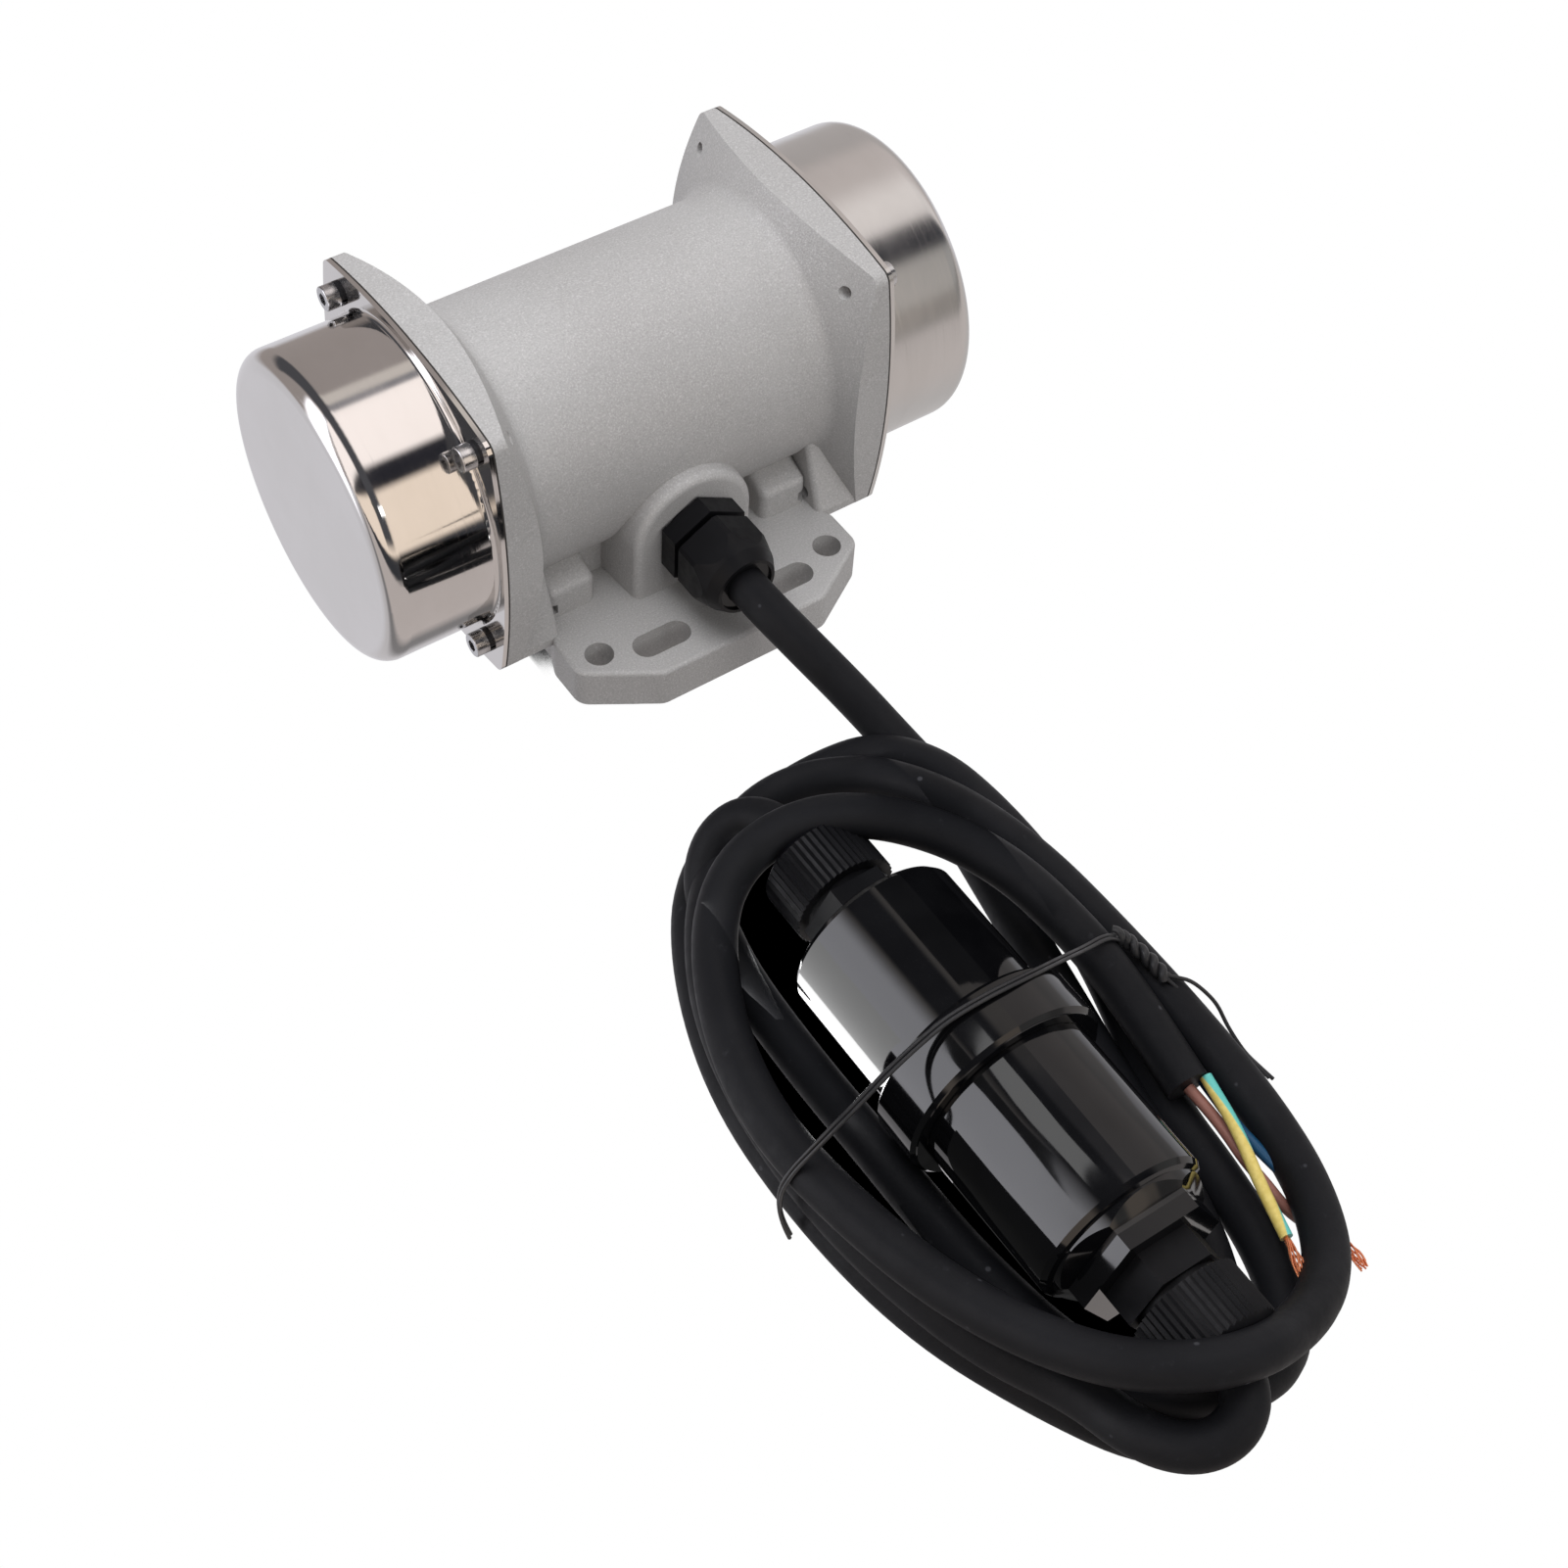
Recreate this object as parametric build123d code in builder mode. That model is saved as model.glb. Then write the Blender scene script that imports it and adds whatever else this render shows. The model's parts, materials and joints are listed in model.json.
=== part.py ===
from build123d import *
from math import cos, pi, radians, sin, tan
import os

# Vibration motor: a small asynchronous motor with eccentric weights at both shaft ends,
# on a cast foot, with its cable coiled around an in-line capacitor box.
# Millimetres, +Z up. X runs along the motor shaft, the cable leaves towards -Y,
# and z = 0 is the surface that the foot and the coil stand on.

# Driving dimensions of the cast housing
AXIS_Z = 40.2
BARREL_R = 30.5
FLANGE_X = 47.75
FLANGE_CORNER = 33.3
FLANGE_BULGE = 3.55
FLANGE_CORNER_R = 3.0
FLANGE_BACK_SLOPE = 0.52
FLANGE_BACK_AT = 45.0
FLANGE_EDGE_T = 3.83
FLANGE_REACH = 48.0
BARREL_ROOT_R = 4.0
SCREW_HALF = 27.75
FOOT_T = 10.0
FOOT_HALF_X = 36.8
FOOT_WAIST_X = 34.8
FOOT_HALF_Y = 54.75
FOOT_CHAMFER_X = 21.0
FOOT_CHAMFER_Y = 45.0
FOOT_WAIST_Y = 30.0
FOOT_EAR_RISE = 5.0
FOOT_CORNER_R = 4.0
FOOT_EDGE_R = 1.0
NECK_Y = 21.0
NECK_X = 38.5
NECK_SINK = 13.0
BLOCK_INNER_X = 22.0
BLOCK_OUTER_X = 34.0
BLOCK_Y = 28.5
BLOCK_BACK_Y = 18.0
BLOCK_FRONT_Z = 17.5
BLOCK_SLOPE = 0.44
BLOCK_EDGE_R = 2.0
GUSSET_X = 34.0
GUSSET_FOOT_Y = 33.4
GUSSET_BOTTOM_Z = 8.0
GUSSET_TOP_Y = 27.4
GUSSET_TOP_Z = 26.3
GUSSET_EDGE_R = 1.5
HOLE_R = 3.25
HOLE_HALF_X = 30.0
HOLE_HALF_Y = 42.5
SLOT_INNER_X = 12.5
SLOT_OUTER_X = 20.0
SLOT_HALF_Y = 46.0

# Inside the housing
STATOR_R = 26.0
SHIELD_R = 31.0
SHIELD_T = 8.0
SHIELD_HUB_WALL = 4.0
SHIELD_LIP_T = 2.0
SHIELD_LIP_STEP = 1.0
SHIELD_WINDOW_R = 2.6
SHIELD_WINDOW_COUNT = 6
SHIELD_WEB_T = 3.0
BORE_R = 15.4
CORE_HALF = 22.0
WINDING_L = 10.0
WINDING_IN_R = 17.5
WINDING_OUT_R = 24.5
SLOT_COUNT = 12
SLOT_L = 5.0
SLOT_W = 3.2
SLOT_PITCH_R = 20.0
ROTOR_R = 15.0
END_RING_R = 13.5
END_RING_T = 5.0
SHAFT_R = 6.0
SHAFT_MID_R = 7.5
SHAFT_CHAMFER = 0.8

# Deep-groove bearing 12 x 32 x 10
BEARING_R = 16.0
BEARING_W = 10.0
BEARING_INSET = 10.75
BEARING_X = FLANGE_X - BEARING_INSET
SHAFT_MID_HALF = BEARING_X - 1.0
BALL_R = 2.7
BALL_PITCH_R = 11.0
BALL_COUNT = 7
RACE_CLEARANCE = 0.08
INNER_RACE_R = 9.3
OUTER_RACE_R = 12.7
CAGE_IN_R = 9.8
CAGE_OUT_R = 12.2
CAGE_W = 7.2

# Caps, gaskets and cap screws
GASKET_T = 0.4
GASKET_IN_R = 29.0
SHEET_T = 1.0
CAP_R = 35.0
CAP_DEPTH = 26.15
CAP_END_X = FLANGE_X + CAP_DEPTH
CAP_EDGE_R = 4.4
CAP_BASE_R = 1.0
CAP_SCREW_R = 1.5
CAP_SCREW_HOLE_R = 1.7
CAP_SCREW_HEAD_R = 2.75
CAP_SCREW_HEAD_H = 3.0
CAP_SCREW_EDGE_R = 0.3
CAP_SCREW_REACH = 7.0
SOCKET_AF = 2.5
SOCKET_DEPTH = 1.6
WASHER_T = 0.7
WASHER_SPLIT = 0.5

# Eccentric weights
WEIGHT_R = 28.0
WEIGHT_T = 8.0
WEIGHT_HUB_R = 11.0
WEIGHT_TO_FLANGE = 2.85
WEIGHT_GAP = 0.6
INNER_WEIGHT_X = FLANGE_X + WEIGHT_TO_FLANGE
OUTER_WEIGHT_X = INNER_WEIGHT_X + WEIGHT_T + WEIGHT_GAP
HUB_CLEARANCE = 0.05
EAR_HALF = 9.0
EAR_TOP = 15.5
CLAMP_SLIT = 1.6
CLAMP_SLIT_FROM = 2.0
CLAMP_Z = 10.8
CLAMP_BOLT_R = 2.5
CLAMP_HEAD_R = 4.2
CLAMP_HEAD_H = 3.4
CLAMP_SOCKET_AF = 4.0
CLAMP_SOCKET_DEPTH = 2.0
KEY_W = 4.0
KEY_TOP = 7.6
KEY_BOTTOM = 4.2
CIRCLIP_PLAY = 0.4
CIRCLIP_X = OUTER_WEIGHT_X + WEIGHT_T + CIRCLIP_PLAY
CIRCLIP_T = 1.0
CIRCLIP_OPENING = 4.0
SHAFT_END_L = 2.4
SHAFT_HALF = CIRCLIP_X + SHAFT_END_L
CIRCLIP_OUT_R = 8.2
CIRCLIP_GROOVE_R = 5.5

# Motor cable gland
CORD_D = 9.0
GLAND_Z = 24.6
BOSS_R = 14.9
BOSS_ROOT_R = 16.2
BOSS_EDGE_R = 2.0
BOSS_FRONT_Y = -34.0
BOSS_ROOT_Y = -19.0
BOSS_INNER_Y = -10.0
GLAND_BORE_R = 6.0
GLAND_SEAT_T = 0.6
GLAND_AF = 18.0
GLAND_HEX_T = 5.0
GLAND_NECK_R = 7.2
GLAND_GAP = 1.4
GLAND_NUT_L = 13.0
GLAND_RIM_R = 7.2
GLAND_MOUTH_R = 6.4
GLAND_STUB_L = 7.0
SEAL_OUT_R = 6.2

# Capacitor box, on an axis parallel to Y, resting on its collar
BOX_X = -28.7
BOX_Z = 21.9
BOX_COLLAR_R = 21.9
BOX_COLLAR_Y = (-171.0, -183.0)
BOX_COLLAR_BEVEL = 1.0
BOX_SHELL_R = 18.5
BOX_WALL = 2.0
BOX_UPPER_Y = -139.5
BOX_LOWER_Y = -217.5
BOX_LOWER_R = 18.2
BOX_JOINT_Y = -177.0
BOX_EDGE_R = 1.6
BOX_FOOT_T = 3.0
BOX_FOOT_FLARE = 0.4
BOX_FLANGE_AF = 27.0
BOX_FLANGE_T = 4.5
BOX_GLAND_AF = 19.0
BOX_GLAND_HEX_T = 7.0
BOX_GLAND_GAP = 1.6
BOX_NUT_R = 11.3
BOX_NUT_L = 12.5
BOX_NUT_RIBS = 48
BOX_NUT_RIB_DEPTH = 0.45
BOX_NUT_CHAMFER = 1.8
CAPACITOR_CLEARANCE = 0.5
CAPACITOR_L = 60.0
CAPACITOR_EDGE_R = 1.2
TERMINAL_PITCH = 10.0
TERMINAL_W = 6.3
TERMINAL_T = 0.8
TERMINAL_L = 3.0

# Cable: the free stretch from the motor, and the two layers of the coil
COIL_OUTLINE = [
    ((-33.0, -112.0), 28.0),
    ((-4.0, -114.0), 25.0),
    ((-4.0, -148.0), 28.5),
    ((-38.0, -166.0), 34.5),
    ((-38.5, -198.0), 34.0),
    ((-34.0, -235.5), 25.5),
    ((-15.0, -224.0), 28.0),
]
COIL_HOLE = [
    ((-28.5, -137.0), 28.0),
    ((-31.0, -165.0), 30.0),
    ((-21.0, -168.0), 25.0),
    ((-28.5, -216.0), 27.0),
]
COIL_SPLIT_Z = 9.4
COIL_TOP_Z = 27.0
COIL_EDGE_R = 4.0
COIL_GAP = 0.3
UPPER_STUB_END_Y = -105.0
LOWER_STUB_END_Y = -250.5
CORD_ROUTE = [
    (0.0, -40.0, 24.6),
    (0.0, -58.0, 24.6),
    (3.0, -71.0, 20.5),
    (8.2, -83.0, 12.6),
    (11.6, -93.7, 6.7),
    (13.0, -105.0, 4.7),
]

# Bare cores at the cut end of the cable, and the twist tie
CORE_SPACE_CENTRE = (-1.0, -219.0)
CORE_SPACE = (25.0, 43.2)
CORE_R = 1.25
COPPER_R = 0.8
CORE_ROUTES = {
    "yellow_green": [(8.6, -197.7, 14.8), (6.6, -209.0, 14.2), (2.6, -221.0, 13.4), (-0.4, -231.6, 13.2)],
    "brown": [(6.2, -197.7, 12.0), (6.4, -208.0, 11.2), (6.6, -218.0, 11.0), (7.8, -228.0, 10.9)],
    "blue": [(9.2, -197.7, 12.2), (9.6, -206.0, 12.8), (9.2, -213.0, 13.6), (9.9, -220.0, 14.0)],
}
COPPER_L = 9.0
TIE_R = 0.7
TIE_ROUTE = [
    (-76.5, -178.5, 3.0),
    (-78.0, -178.8, 13.0),
    (-75.5, -178.0, 25.0),
    (-60.0, -172.8, 31.5),
    (-43.0, -169.6, 42.5),
    (-28.0, -169.6, 46.5),
    (-12.0, -168.0, 42.5),
    (3.0, -165.0, 33.5),
    (16.5, -166.5, 30.0),
    (22.0, -176.0, 28.5),
    (22.0, -187.0, 27.0),
    (19.5, -200.0, 24.0),
    (23.5, -204.0, 14.0),
]


def save(shape, name):
    """Label one sub-part and write its file."""
    shape.label = name
    export_step(shape, f"parts/{name}.step")


def end_plane(sign, x):
    """Plane across the shaft at distance x, facing outwards at the end that sign names."""
    return Plane(origin=(sign * x, 0, AXIS_Z), x_dir=(0, sign, 0), z_dir=(sign, 0, 0))


def side_plane(x, y, z, towards=-1):
    """Plane that faces along Y, for a gland: local y is up."""
    return Plane(origin=(x, y, z), x_dir=(-towards, 0, 0), z_dir=(0, towards, 0))


def flange_outline():
    """Square with bulged sides, used by the flange, the gasket and the cap."""
    c = FLANGE_CORNER
    m = FLANGE_CORNER + FLANGE_BULGE
    with BuildSketch() as outline:
        with BuildLine():
            ThreePointArc((c, -c), (m, 0), (c, c))
            ThreePointArc((c, c), (0, m), (-c, c))
            ThreePointArc((-c, c), (-m, 0), (-c, -c))
            ThreePointArc((-c, -c), (0, -m), (c, -c))
        make_face()
        fillet(outline.vertices(), FLANGE_CORNER_R)
    return outline.sketch


def flange(sign):
    """One end flange with the conical back of the casting."""
    back = FLANGE_EDGE_T + FLANGE_BACK_SLOPE * FLANGE_BACK_AT
    outer_z = AXIS_Z + FLANGE_REACH
    with BuildPart() as body:
        with BuildSketch(end_plane(sign, FLANGE_X)):
            add(flange_outline())
        extrude(amount=-back)
        with BuildSketch(Plane.XZ):
            with BuildLine():
                Polyline(
                    (sign * FLANGE_X, AXIS_Z),
                    (sign * FLANGE_X, outer_z),
                    (sign * (FLANGE_X - back + FLANGE_BACK_SLOPE * FLANGE_REACH), outer_z),
                    (sign * (FLANGE_X - back), AXIS_Z),
                    close=True,
                )
            make_face()
        revolve(axis=Axis((0, 0, AXIS_Z), (1, 0, 0)), mode=Mode.INTERSECT)
    return body.part


def foot_outline():
    """Foot seen from above: chamfered ears and a narrower waist."""
    quarter = [
        (FOOT_WAIST_X, FOOT_WAIST_Y),
        (FOOT_HALF_X, FOOT_WAIST_Y + FOOT_EAR_RISE),
        (FOOT_HALF_X, FOOT_CHAMFER_Y),
        (FOOT_CHAMFER_X, FOOT_HALF_Y),
    ]
    right_back = quarter
    left_back = [(-x, y) for x, y in reversed(quarter)]
    left_front = [(-x, -y) for x, y in quarter]
    right_front = [(x, -y) for x, y in reversed(quarter)]
    with BuildSketch() as outline:
        with BuildLine():
            Polyline(*right_back, *left_back, *left_front, *right_front, close=True)
        make_face()
        ears = [v for v in outline.vertices() if abs(v.Y) > FOOT_WAIST_Y + FOOT_EAR_RISE / 2]
        fillet(ears, FOOT_CORNER_R)
    return outline.sketch


def foot():
    """Plate of the foot with its upper edges rounded."""
    with BuildPart() as body:
        with BuildSketch(Plane.XY):
            add(foot_outline())
        extrude(amount=FOOT_T)
        fillet(body.edges().group_by(Axis.Z)[-1], FOOT_EDGE_R)
    return body.part


def barrel():
    """Barrel with both flanges, rounded where it runs into their conical backs."""
    root_x = FLANGE_X - FLANGE_EDGE_T - FLANGE_BACK_SLOPE * (FLANGE_BACK_AT - BARREL_R)
    with BuildPart() as body:
        with BuildSketch(end_plane(1, -FLANGE_X)):
            Circle(BARREL_R)
        extrude(amount=2 * FLANGE_X)
        add(flange(1))
        add(flange(-1))
        roots = [
            e for e in body.edges().filter_by(GeomType.CIRCLE)
            if abs(e.radius - BARREL_R) < 0.01 and abs(abs(e.center().X) - root_x) < 0.01
        ]
        fillet(roots, BARREL_ROOT_R)
    return body.part


def shoulder_block(side_x, side_y):
    """Rounded block that stands beside the gland boss, under the barrel."""
    back_z = BLOCK_FRONT_Z + BLOCK_SLOPE * (BLOCK_Y - BLOCK_BACK_Y)
    with BuildPart() as body:
        with BuildSketch(Plane.YZ.offset(side_x * BLOCK_INNER_X)):
            with BuildLine():
                Polyline(
                    (side_y * BLOCK_BACK_Y, FOOT_T / 2),
                    (side_y * BLOCK_Y, FOOT_T / 2),
                    (side_y * BLOCK_Y, BLOCK_FRONT_Z),
                    (side_y * BLOCK_BACK_Y, back_z),
                    close=True,
                )
            make_face()
        extrude(amount=BLOCK_OUTER_X - BLOCK_INNER_X, dir=(side_x, 0, 0))
        outer = [
            e for e in body.edges()
            if e.center().Z > FOOT_T / 2 + 0.1 and abs(e.center().Y) > BLOCK_BACK_Y + 0.1
        ]
        fillet(outer, BLOCK_EDGE_R)
    return body.part


def gusset(side_x, side_y):
    """Leaning web between the foot and the conical back of a flange."""
    with BuildPart() as body:
        with BuildSketch(Plane.YZ.offset(side_x * GUSSET_X)):
            with BuildLine():
                Polyline(
                    (side_y * BLOCK_BACK_Y, GUSSET_BOTTOM_Z),
                    (side_y * GUSSET_FOOT_Y, GUSSET_BOTTOM_Z),
                    (side_y * GUSSET_FOOT_Y, FOOT_T),
                    (side_y * GUSSET_TOP_Y, GUSSET_TOP_Z),
                    (side_y * BLOCK_BACK_Y, GUSSET_TOP_Z),
                    close=True,
                )
            make_face()
        extrude(amount=FLANGE_X - FLANGE_EDGE_T / 2 - GUSSET_X, dir=(side_x, 0, 0))
        leaning = [
            e for e in body.edges()
            if abs(abs(e.center().X) - GUSSET_X) < 0.01 and e.center().Z > FOOT_T + 0.1
            and abs(e.center().Y) > GUSSET_TOP_Y + 0.1
        ]
        fillet(leaning, GUSSET_EDGE_R)
        # Nothing of the web stands out below the rounded corner of the flange
        with BuildSketch(end_plane(side_x, GUSSET_X)):
            add(flange_outline())
        extrude(amount=FLANGE_X - GUSSET_X, mode=Mode.INTERSECT)
    return body.part


def gland_boss():
    """Drafted boss with a rounded rim that carries the motor gland."""
    drop = GLAND_Z - FOOT_T / 2
    with BuildPart() as body:
        for y, radius in ((BOSS_ROOT_Y, BOSS_ROOT_R), (BOSS_FRONT_Y, BOSS_R)):
            with BuildSketch(side_plane(0, y, GLAND_Z)):
                Circle(radius)
                with Locations((0, -drop / 2)):
                    Rectangle(2 * radius, drop)
        loft(ruled=True)
        rim = [
            e for e in body.edges()
            if abs(e.center().Y - BOSS_FRONT_Y) < 0.01 and e.center().Z > FOOT_T
        ]
        fillet(rim, BOSS_EDGE_R)
    return body.part


def housing():
    """Cast aluminium body: barrel, two flanges, foot with its blocks and webs, and gland boss."""
    with BuildPart() as body:
        add(barrel())
        add(foot())
        with BuildSketch(Plane.XY.offset(FOOT_T / 2)):
            Rectangle(2 * NECK_X, 2 * NECK_Y)
        extrude(amount=AXIS_Z - FOOT_T / 2 - BARREL_R + NECK_SINK)
        for side_x in (-1, 1):
            for side_y in (-1, 1):
                add(shoulder_block(side_x, side_y))
                add(gusset(side_x, side_y))
        add(gland_boss())
        # Bores for the stator and the bearing shields
        with BuildSketch(end_plane(1, -FLANGE_X)):
            Circle(STATOR_R)
        extrude(amount=2 * FLANGE_X, mode=Mode.SUBTRACT)
        for sign in (-1, 1):
            with BuildSketch(end_plane(sign, FLANGE_X)):
                Circle(SHIELD_R)
            extrude(amount=-SHIELD_T, mode=Mode.SUBTRACT)
            with BuildSketch(end_plane(sign, FLANGE_X)):
                with GridLocations(2 * SCREW_HALF, 2 * SCREW_HALF, 2, 2):
                    Circle(CAP_SCREW_R)
            extrude(amount=-2 * SHIELD_T, mode=Mode.SUBTRACT)
        # Cable way through the boss into the stator bore
        with BuildSketch(side_plane(0, BOSS_INNER_Y, GLAND_Z)):
            Circle(GLAND_BORE_R)
        extrude(amount=BOSS_INNER_Y - BOSS_FRONT_Y, mode=Mode.SUBTRACT)
        # Fixing holes and slots through the foot
        with BuildSketch(Plane.XY):
            with GridLocations(2 * HOLE_HALF_X, 2 * HOLE_HALF_Y, 2, 2):
                Circle(HOLE_R)
            with GridLocations(SLOT_INNER_X + SLOT_OUTER_X, 2 * SLOT_HALF_Y, 2, 2):
                SlotCenterToCenter(SLOT_OUTER_X - SLOT_INNER_X, 2 * HOLE_R)
        extrude(amount=FOOT_T, mode=Mode.SUBTRACT)
    save(body.part, "housing")


def bearing_shield(side, sign):
    """Disc that carries the bearing inside the end of the barrel."""
    lip_x = BEARING_X - SHIELD_LIP_T
    hub_r = BEARING_R + SHIELD_HUB_WALL
    with BuildPart() as body:
        with BuildSketch(end_plane(sign, FLANGE_X - SHIELD_T)):
            Circle(SHIELD_R)
        extrude(amount=SHIELD_T)
        with BuildSketch(end_plane(sign, lip_x)):
            Circle(hub_r)
        extrude(amount=FLANGE_X - lip_x)
        with BuildSketch(end_plane(sign, BEARING_X)):
            Circle(BEARING_R)
        extrude(amount=FLANGE_X - BEARING_X, mode=Mode.SUBTRACT)
        with BuildSketch(end_plane(sign, lip_x)):
            Circle(OUTER_RACE_R + SHIELD_LIP_STEP)
        extrude(amount=FLANGE_X - lip_x, mode=Mode.SUBTRACT)
        # Ventilated web: six round windows lighten the shield
        with BuildSketch(end_plane(sign, FLANGE_X - SHIELD_T)):
            with PolarLocations((SHIELD_R + hub_r) / 2, SHIELD_WINDOW_COUNT):
                Circle(SHIELD_WINDOW_R)
        extrude(amount=SHIELD_T - SHIELD_WEB_T, mode=Mode.SUBTRACT)
    save(body.part, f"bearing_shield_{side}")


def stator():
    """Laminated core with winding slots, and the end turns of the winding."""
    with BuildPart() as core:
        with BuildSketch(end_plane(1, -CORE_HALF)):
            Circle(STATOR_R)
            Circle(BORE_R, mode=Mode.SUBTRACT)
            with PolarLocations(SLOT_PITCH_R, SLOT_COUNT):
                Rectangle(SLOT_L, SLOT_W, mode=Mode.SUBTRACT)
        extrude(amount=2 * CORE_HALF)
    save(core.part, "stator_core")
    with BuildPart() as windings:
        for sign in (-1, 1):
            with BuildSketch(end_plane(sign, CORE_HALF)):
                Circle(WINDING_OUT_R)
                Circle(WINDING_IN_R, mode=Mode.SUBTRACT)
            extrude(amount=WINDING_L)
    save(windings.part, "stator_windings")


def rotor():
    """Rotor pack, its end rings, and the shaft with keyways and circlip grooves."""
    with BuildPart() as core:
        with BuildSketch(end_plane(1, -CORE_HALF)):
            Circle(ROTOR_R)
            Circle(SHAFT_MID_R, mode=Mode.SUBTRACT)
        extrude(amount=2 * CORE_HALF)
    save(core.part, "rotor_core")
    with BuildPart() as rings:
        for sign in (-1, 1):
            with BuildSketch(end_plane(sign, CORE_HALF)):
                Circle(END_RING_R)
                Circle(SHAFT_MID_R + 1.0, mode=Mode.SUBTRACT)
            extrude(amount=END_RING_T)
    save(rings.part, "rotor_end_rings")
    with BuildPart() as shaft:
        with BuildSketch(end_plane(1, -SHAFT_HALF)):
            Circle(SHAFT_R)
        extrude(amount=2 * SHAFT_HALF)
        chamfer(shaft.edges().filter_by(GeomType.CIRCLE), SHAFT_CHAMFER)
        with BuildSketch(end_plane(1, -SHAFT_MID_HALF)):
            Circle(SHAFT_MID_R)
        extrude(amount=2 * SHAFT_MID_HALF)
        for sign in (-1, 1):
            with BuildSketch(end_plane(sign, CIRCLIP_X)):
                Circle(SHAFT_R + 1.0)
                Circle(CIRCLIP_GROOVE_R, mode=Mode.SUBTRACT)
            extrude(amount=CIRCLIP_T, mode=Mode.SUBTRACT)
            with BuildSketch(end_plane(sign, INNER_WEIGHT_X)):
                with Locations((0, KEY_BOTTOM + SHAFT_R / 2)):
                    Rectangle(KEY_W, SHAFT_R)
            extrude(amount=WEIGHT_T, mode=Mode.SUBTRACT)
    save(shaft.part, "shaft")


def bearing(side, sign):
    """Outer race, inner race, balls and cage of one deep-groove bearing."""
    mid_x = BEARING_X + BEARING_W / 2
    groove_r = BALL_R + RACE_CLEARANCE
    spin = Axis((0, 0, AXIS_Z), (1, 0, 0))
    groove_centre = (sign * mid_x, AXIS_Z + BALL_PITCH_R)
    for name, outer_r, inner_r in (
        ("bearing_outer", BEARING_R, OUTER_RACE_R),
        ("bearing_inner", INNER_RACE_R, SHAFT_R),
    ):
        with BuildPart() as race:
            with BuildSketch(end_plane(sign, BEARING_X)):
                Circle(outer_r)
                Circle(inner_r, mode=Mode.SUBTRACT)
            extrude(amount=BEARING_W)
            with BuildSketch(Plane.XZ):
                with Locations(groove_centre):
                    Circle(groove_r)
            revolve(axis=spin, mode=Mode.SUBTRACT)
        save(race.part, f"{name}_{side}")
    ball_plane = end_plane(sign, mid_x)
    with BuildPart() as balls:
        with Locations(ball_plane):
            with PolarLocations(BALL_PITCH_R, BALL_COUNT):
                Sphere(BALL_R)
    save(balls.part, f"bearing_balls_{side}")
    with BuildPart() as cage:
        with BuildSketch(end_plane(sign, mid_x - CAGE_W / 2)):
            Circle(CAGE_OUT_R)
            Circle(CAGE_IN_R, mode=Mode.SUBTRACT)
        extrude(amount=CAGE_W)
        with Locations(ball_plane):
            with PolarLocations(BALL_PITCH_R, BALL_COUNT):
                Cylinder(groove_r, CAGE_W + 1.0, rotation=(0, 90, 0), mode=Mode.SUBTRACT)
    save(cage.part, f"bearing_cage_{side}")


def eccentric_weight(side, sign, name, x, keyed):
    """Half-disc weight with a split hub that a bolt clamps on the shaft."""
    bore_r = SHAFT_R if keyed else SHAFT_R + HUB_CLEARANCE
    with BuildPart() as weight:
        with BuildSketch(end_plane(sign, x)):
            Circle(WEIGHT_R)
            with Locations((0, WEIGHT_R / 2)):
                Rectangle(2 * WEIGHT_R, WEIGHT_R, mode=Mode.SUBTRACT)
            Circle(WEIGHT_HUB_R)
            with Locations((0, EAR_TOP / 2)):
                Rectangle(2 * EAR_HALF, EAR_TOP)
            Circle(bore_r, mode=Mode.SUBTRACT)
            with Locations((0, EAR_TOP / 2 + CLAMP_SLIT_FROM)):
                Rectangle(CLAMP_SLIT, EAR_TOP, mode=Mode.SUBTRACT)
            if keyed:
                with Locations((0, KEY_TOP / 2)):
                    Rectangle(KEY_W, KEY_TOP, mode=Mode.SUBTRACT)
        extrude(amount=WEIGHT_T)
        with BuildSketch(Plane.XZ.offset(-2 * EAR_HALF)):
            with Locations((sign * (x + WEIGHT_T / 2), AXIS_Z + CLAMP_Z)):
                Circle(CLAMP_BOLT_R)
        extrude(amount=4 * EAR_HALF, mode=Mode.SUBTRACT)
    save(weight.part, f"{name}_weight_{side}")
    bolt_x = sign * (x + WEIGHT_T / 2)
    bolt_z = AXIS_Z + CLAMP_Z
    with BuildPart() as bolt:
        with BuildSketch(side_plane(bolt_x, EAR_HALF, bolt_z)):
            Circle(CLAMP_BOLT_R)
        extrude(amount=2 * EAR_HALF)
        with BuildSketch(side_plane(bolt_x, -EAR_HALF, bolt_z)):
            Circle(min(CLAMP_HEAD_R, WEIGHT_T / 2))
        extrude(amount=CLAMP_HEAD_H)
        with BuildSketch(side_plane(bolt_x, -EAR_HALF - CLAMP_HEAD_H, bolt_z)):
            RegularPolygon(CLAMP_SOCKET_AF / 2, 6, major_radius=False)
        extrude(amount=-CLAMP_SOCKET_DEPTH, mode=Mode.SUBTRACT)
    save(bolt.part, f"{name}_weight_bolt_{side}")


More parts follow.
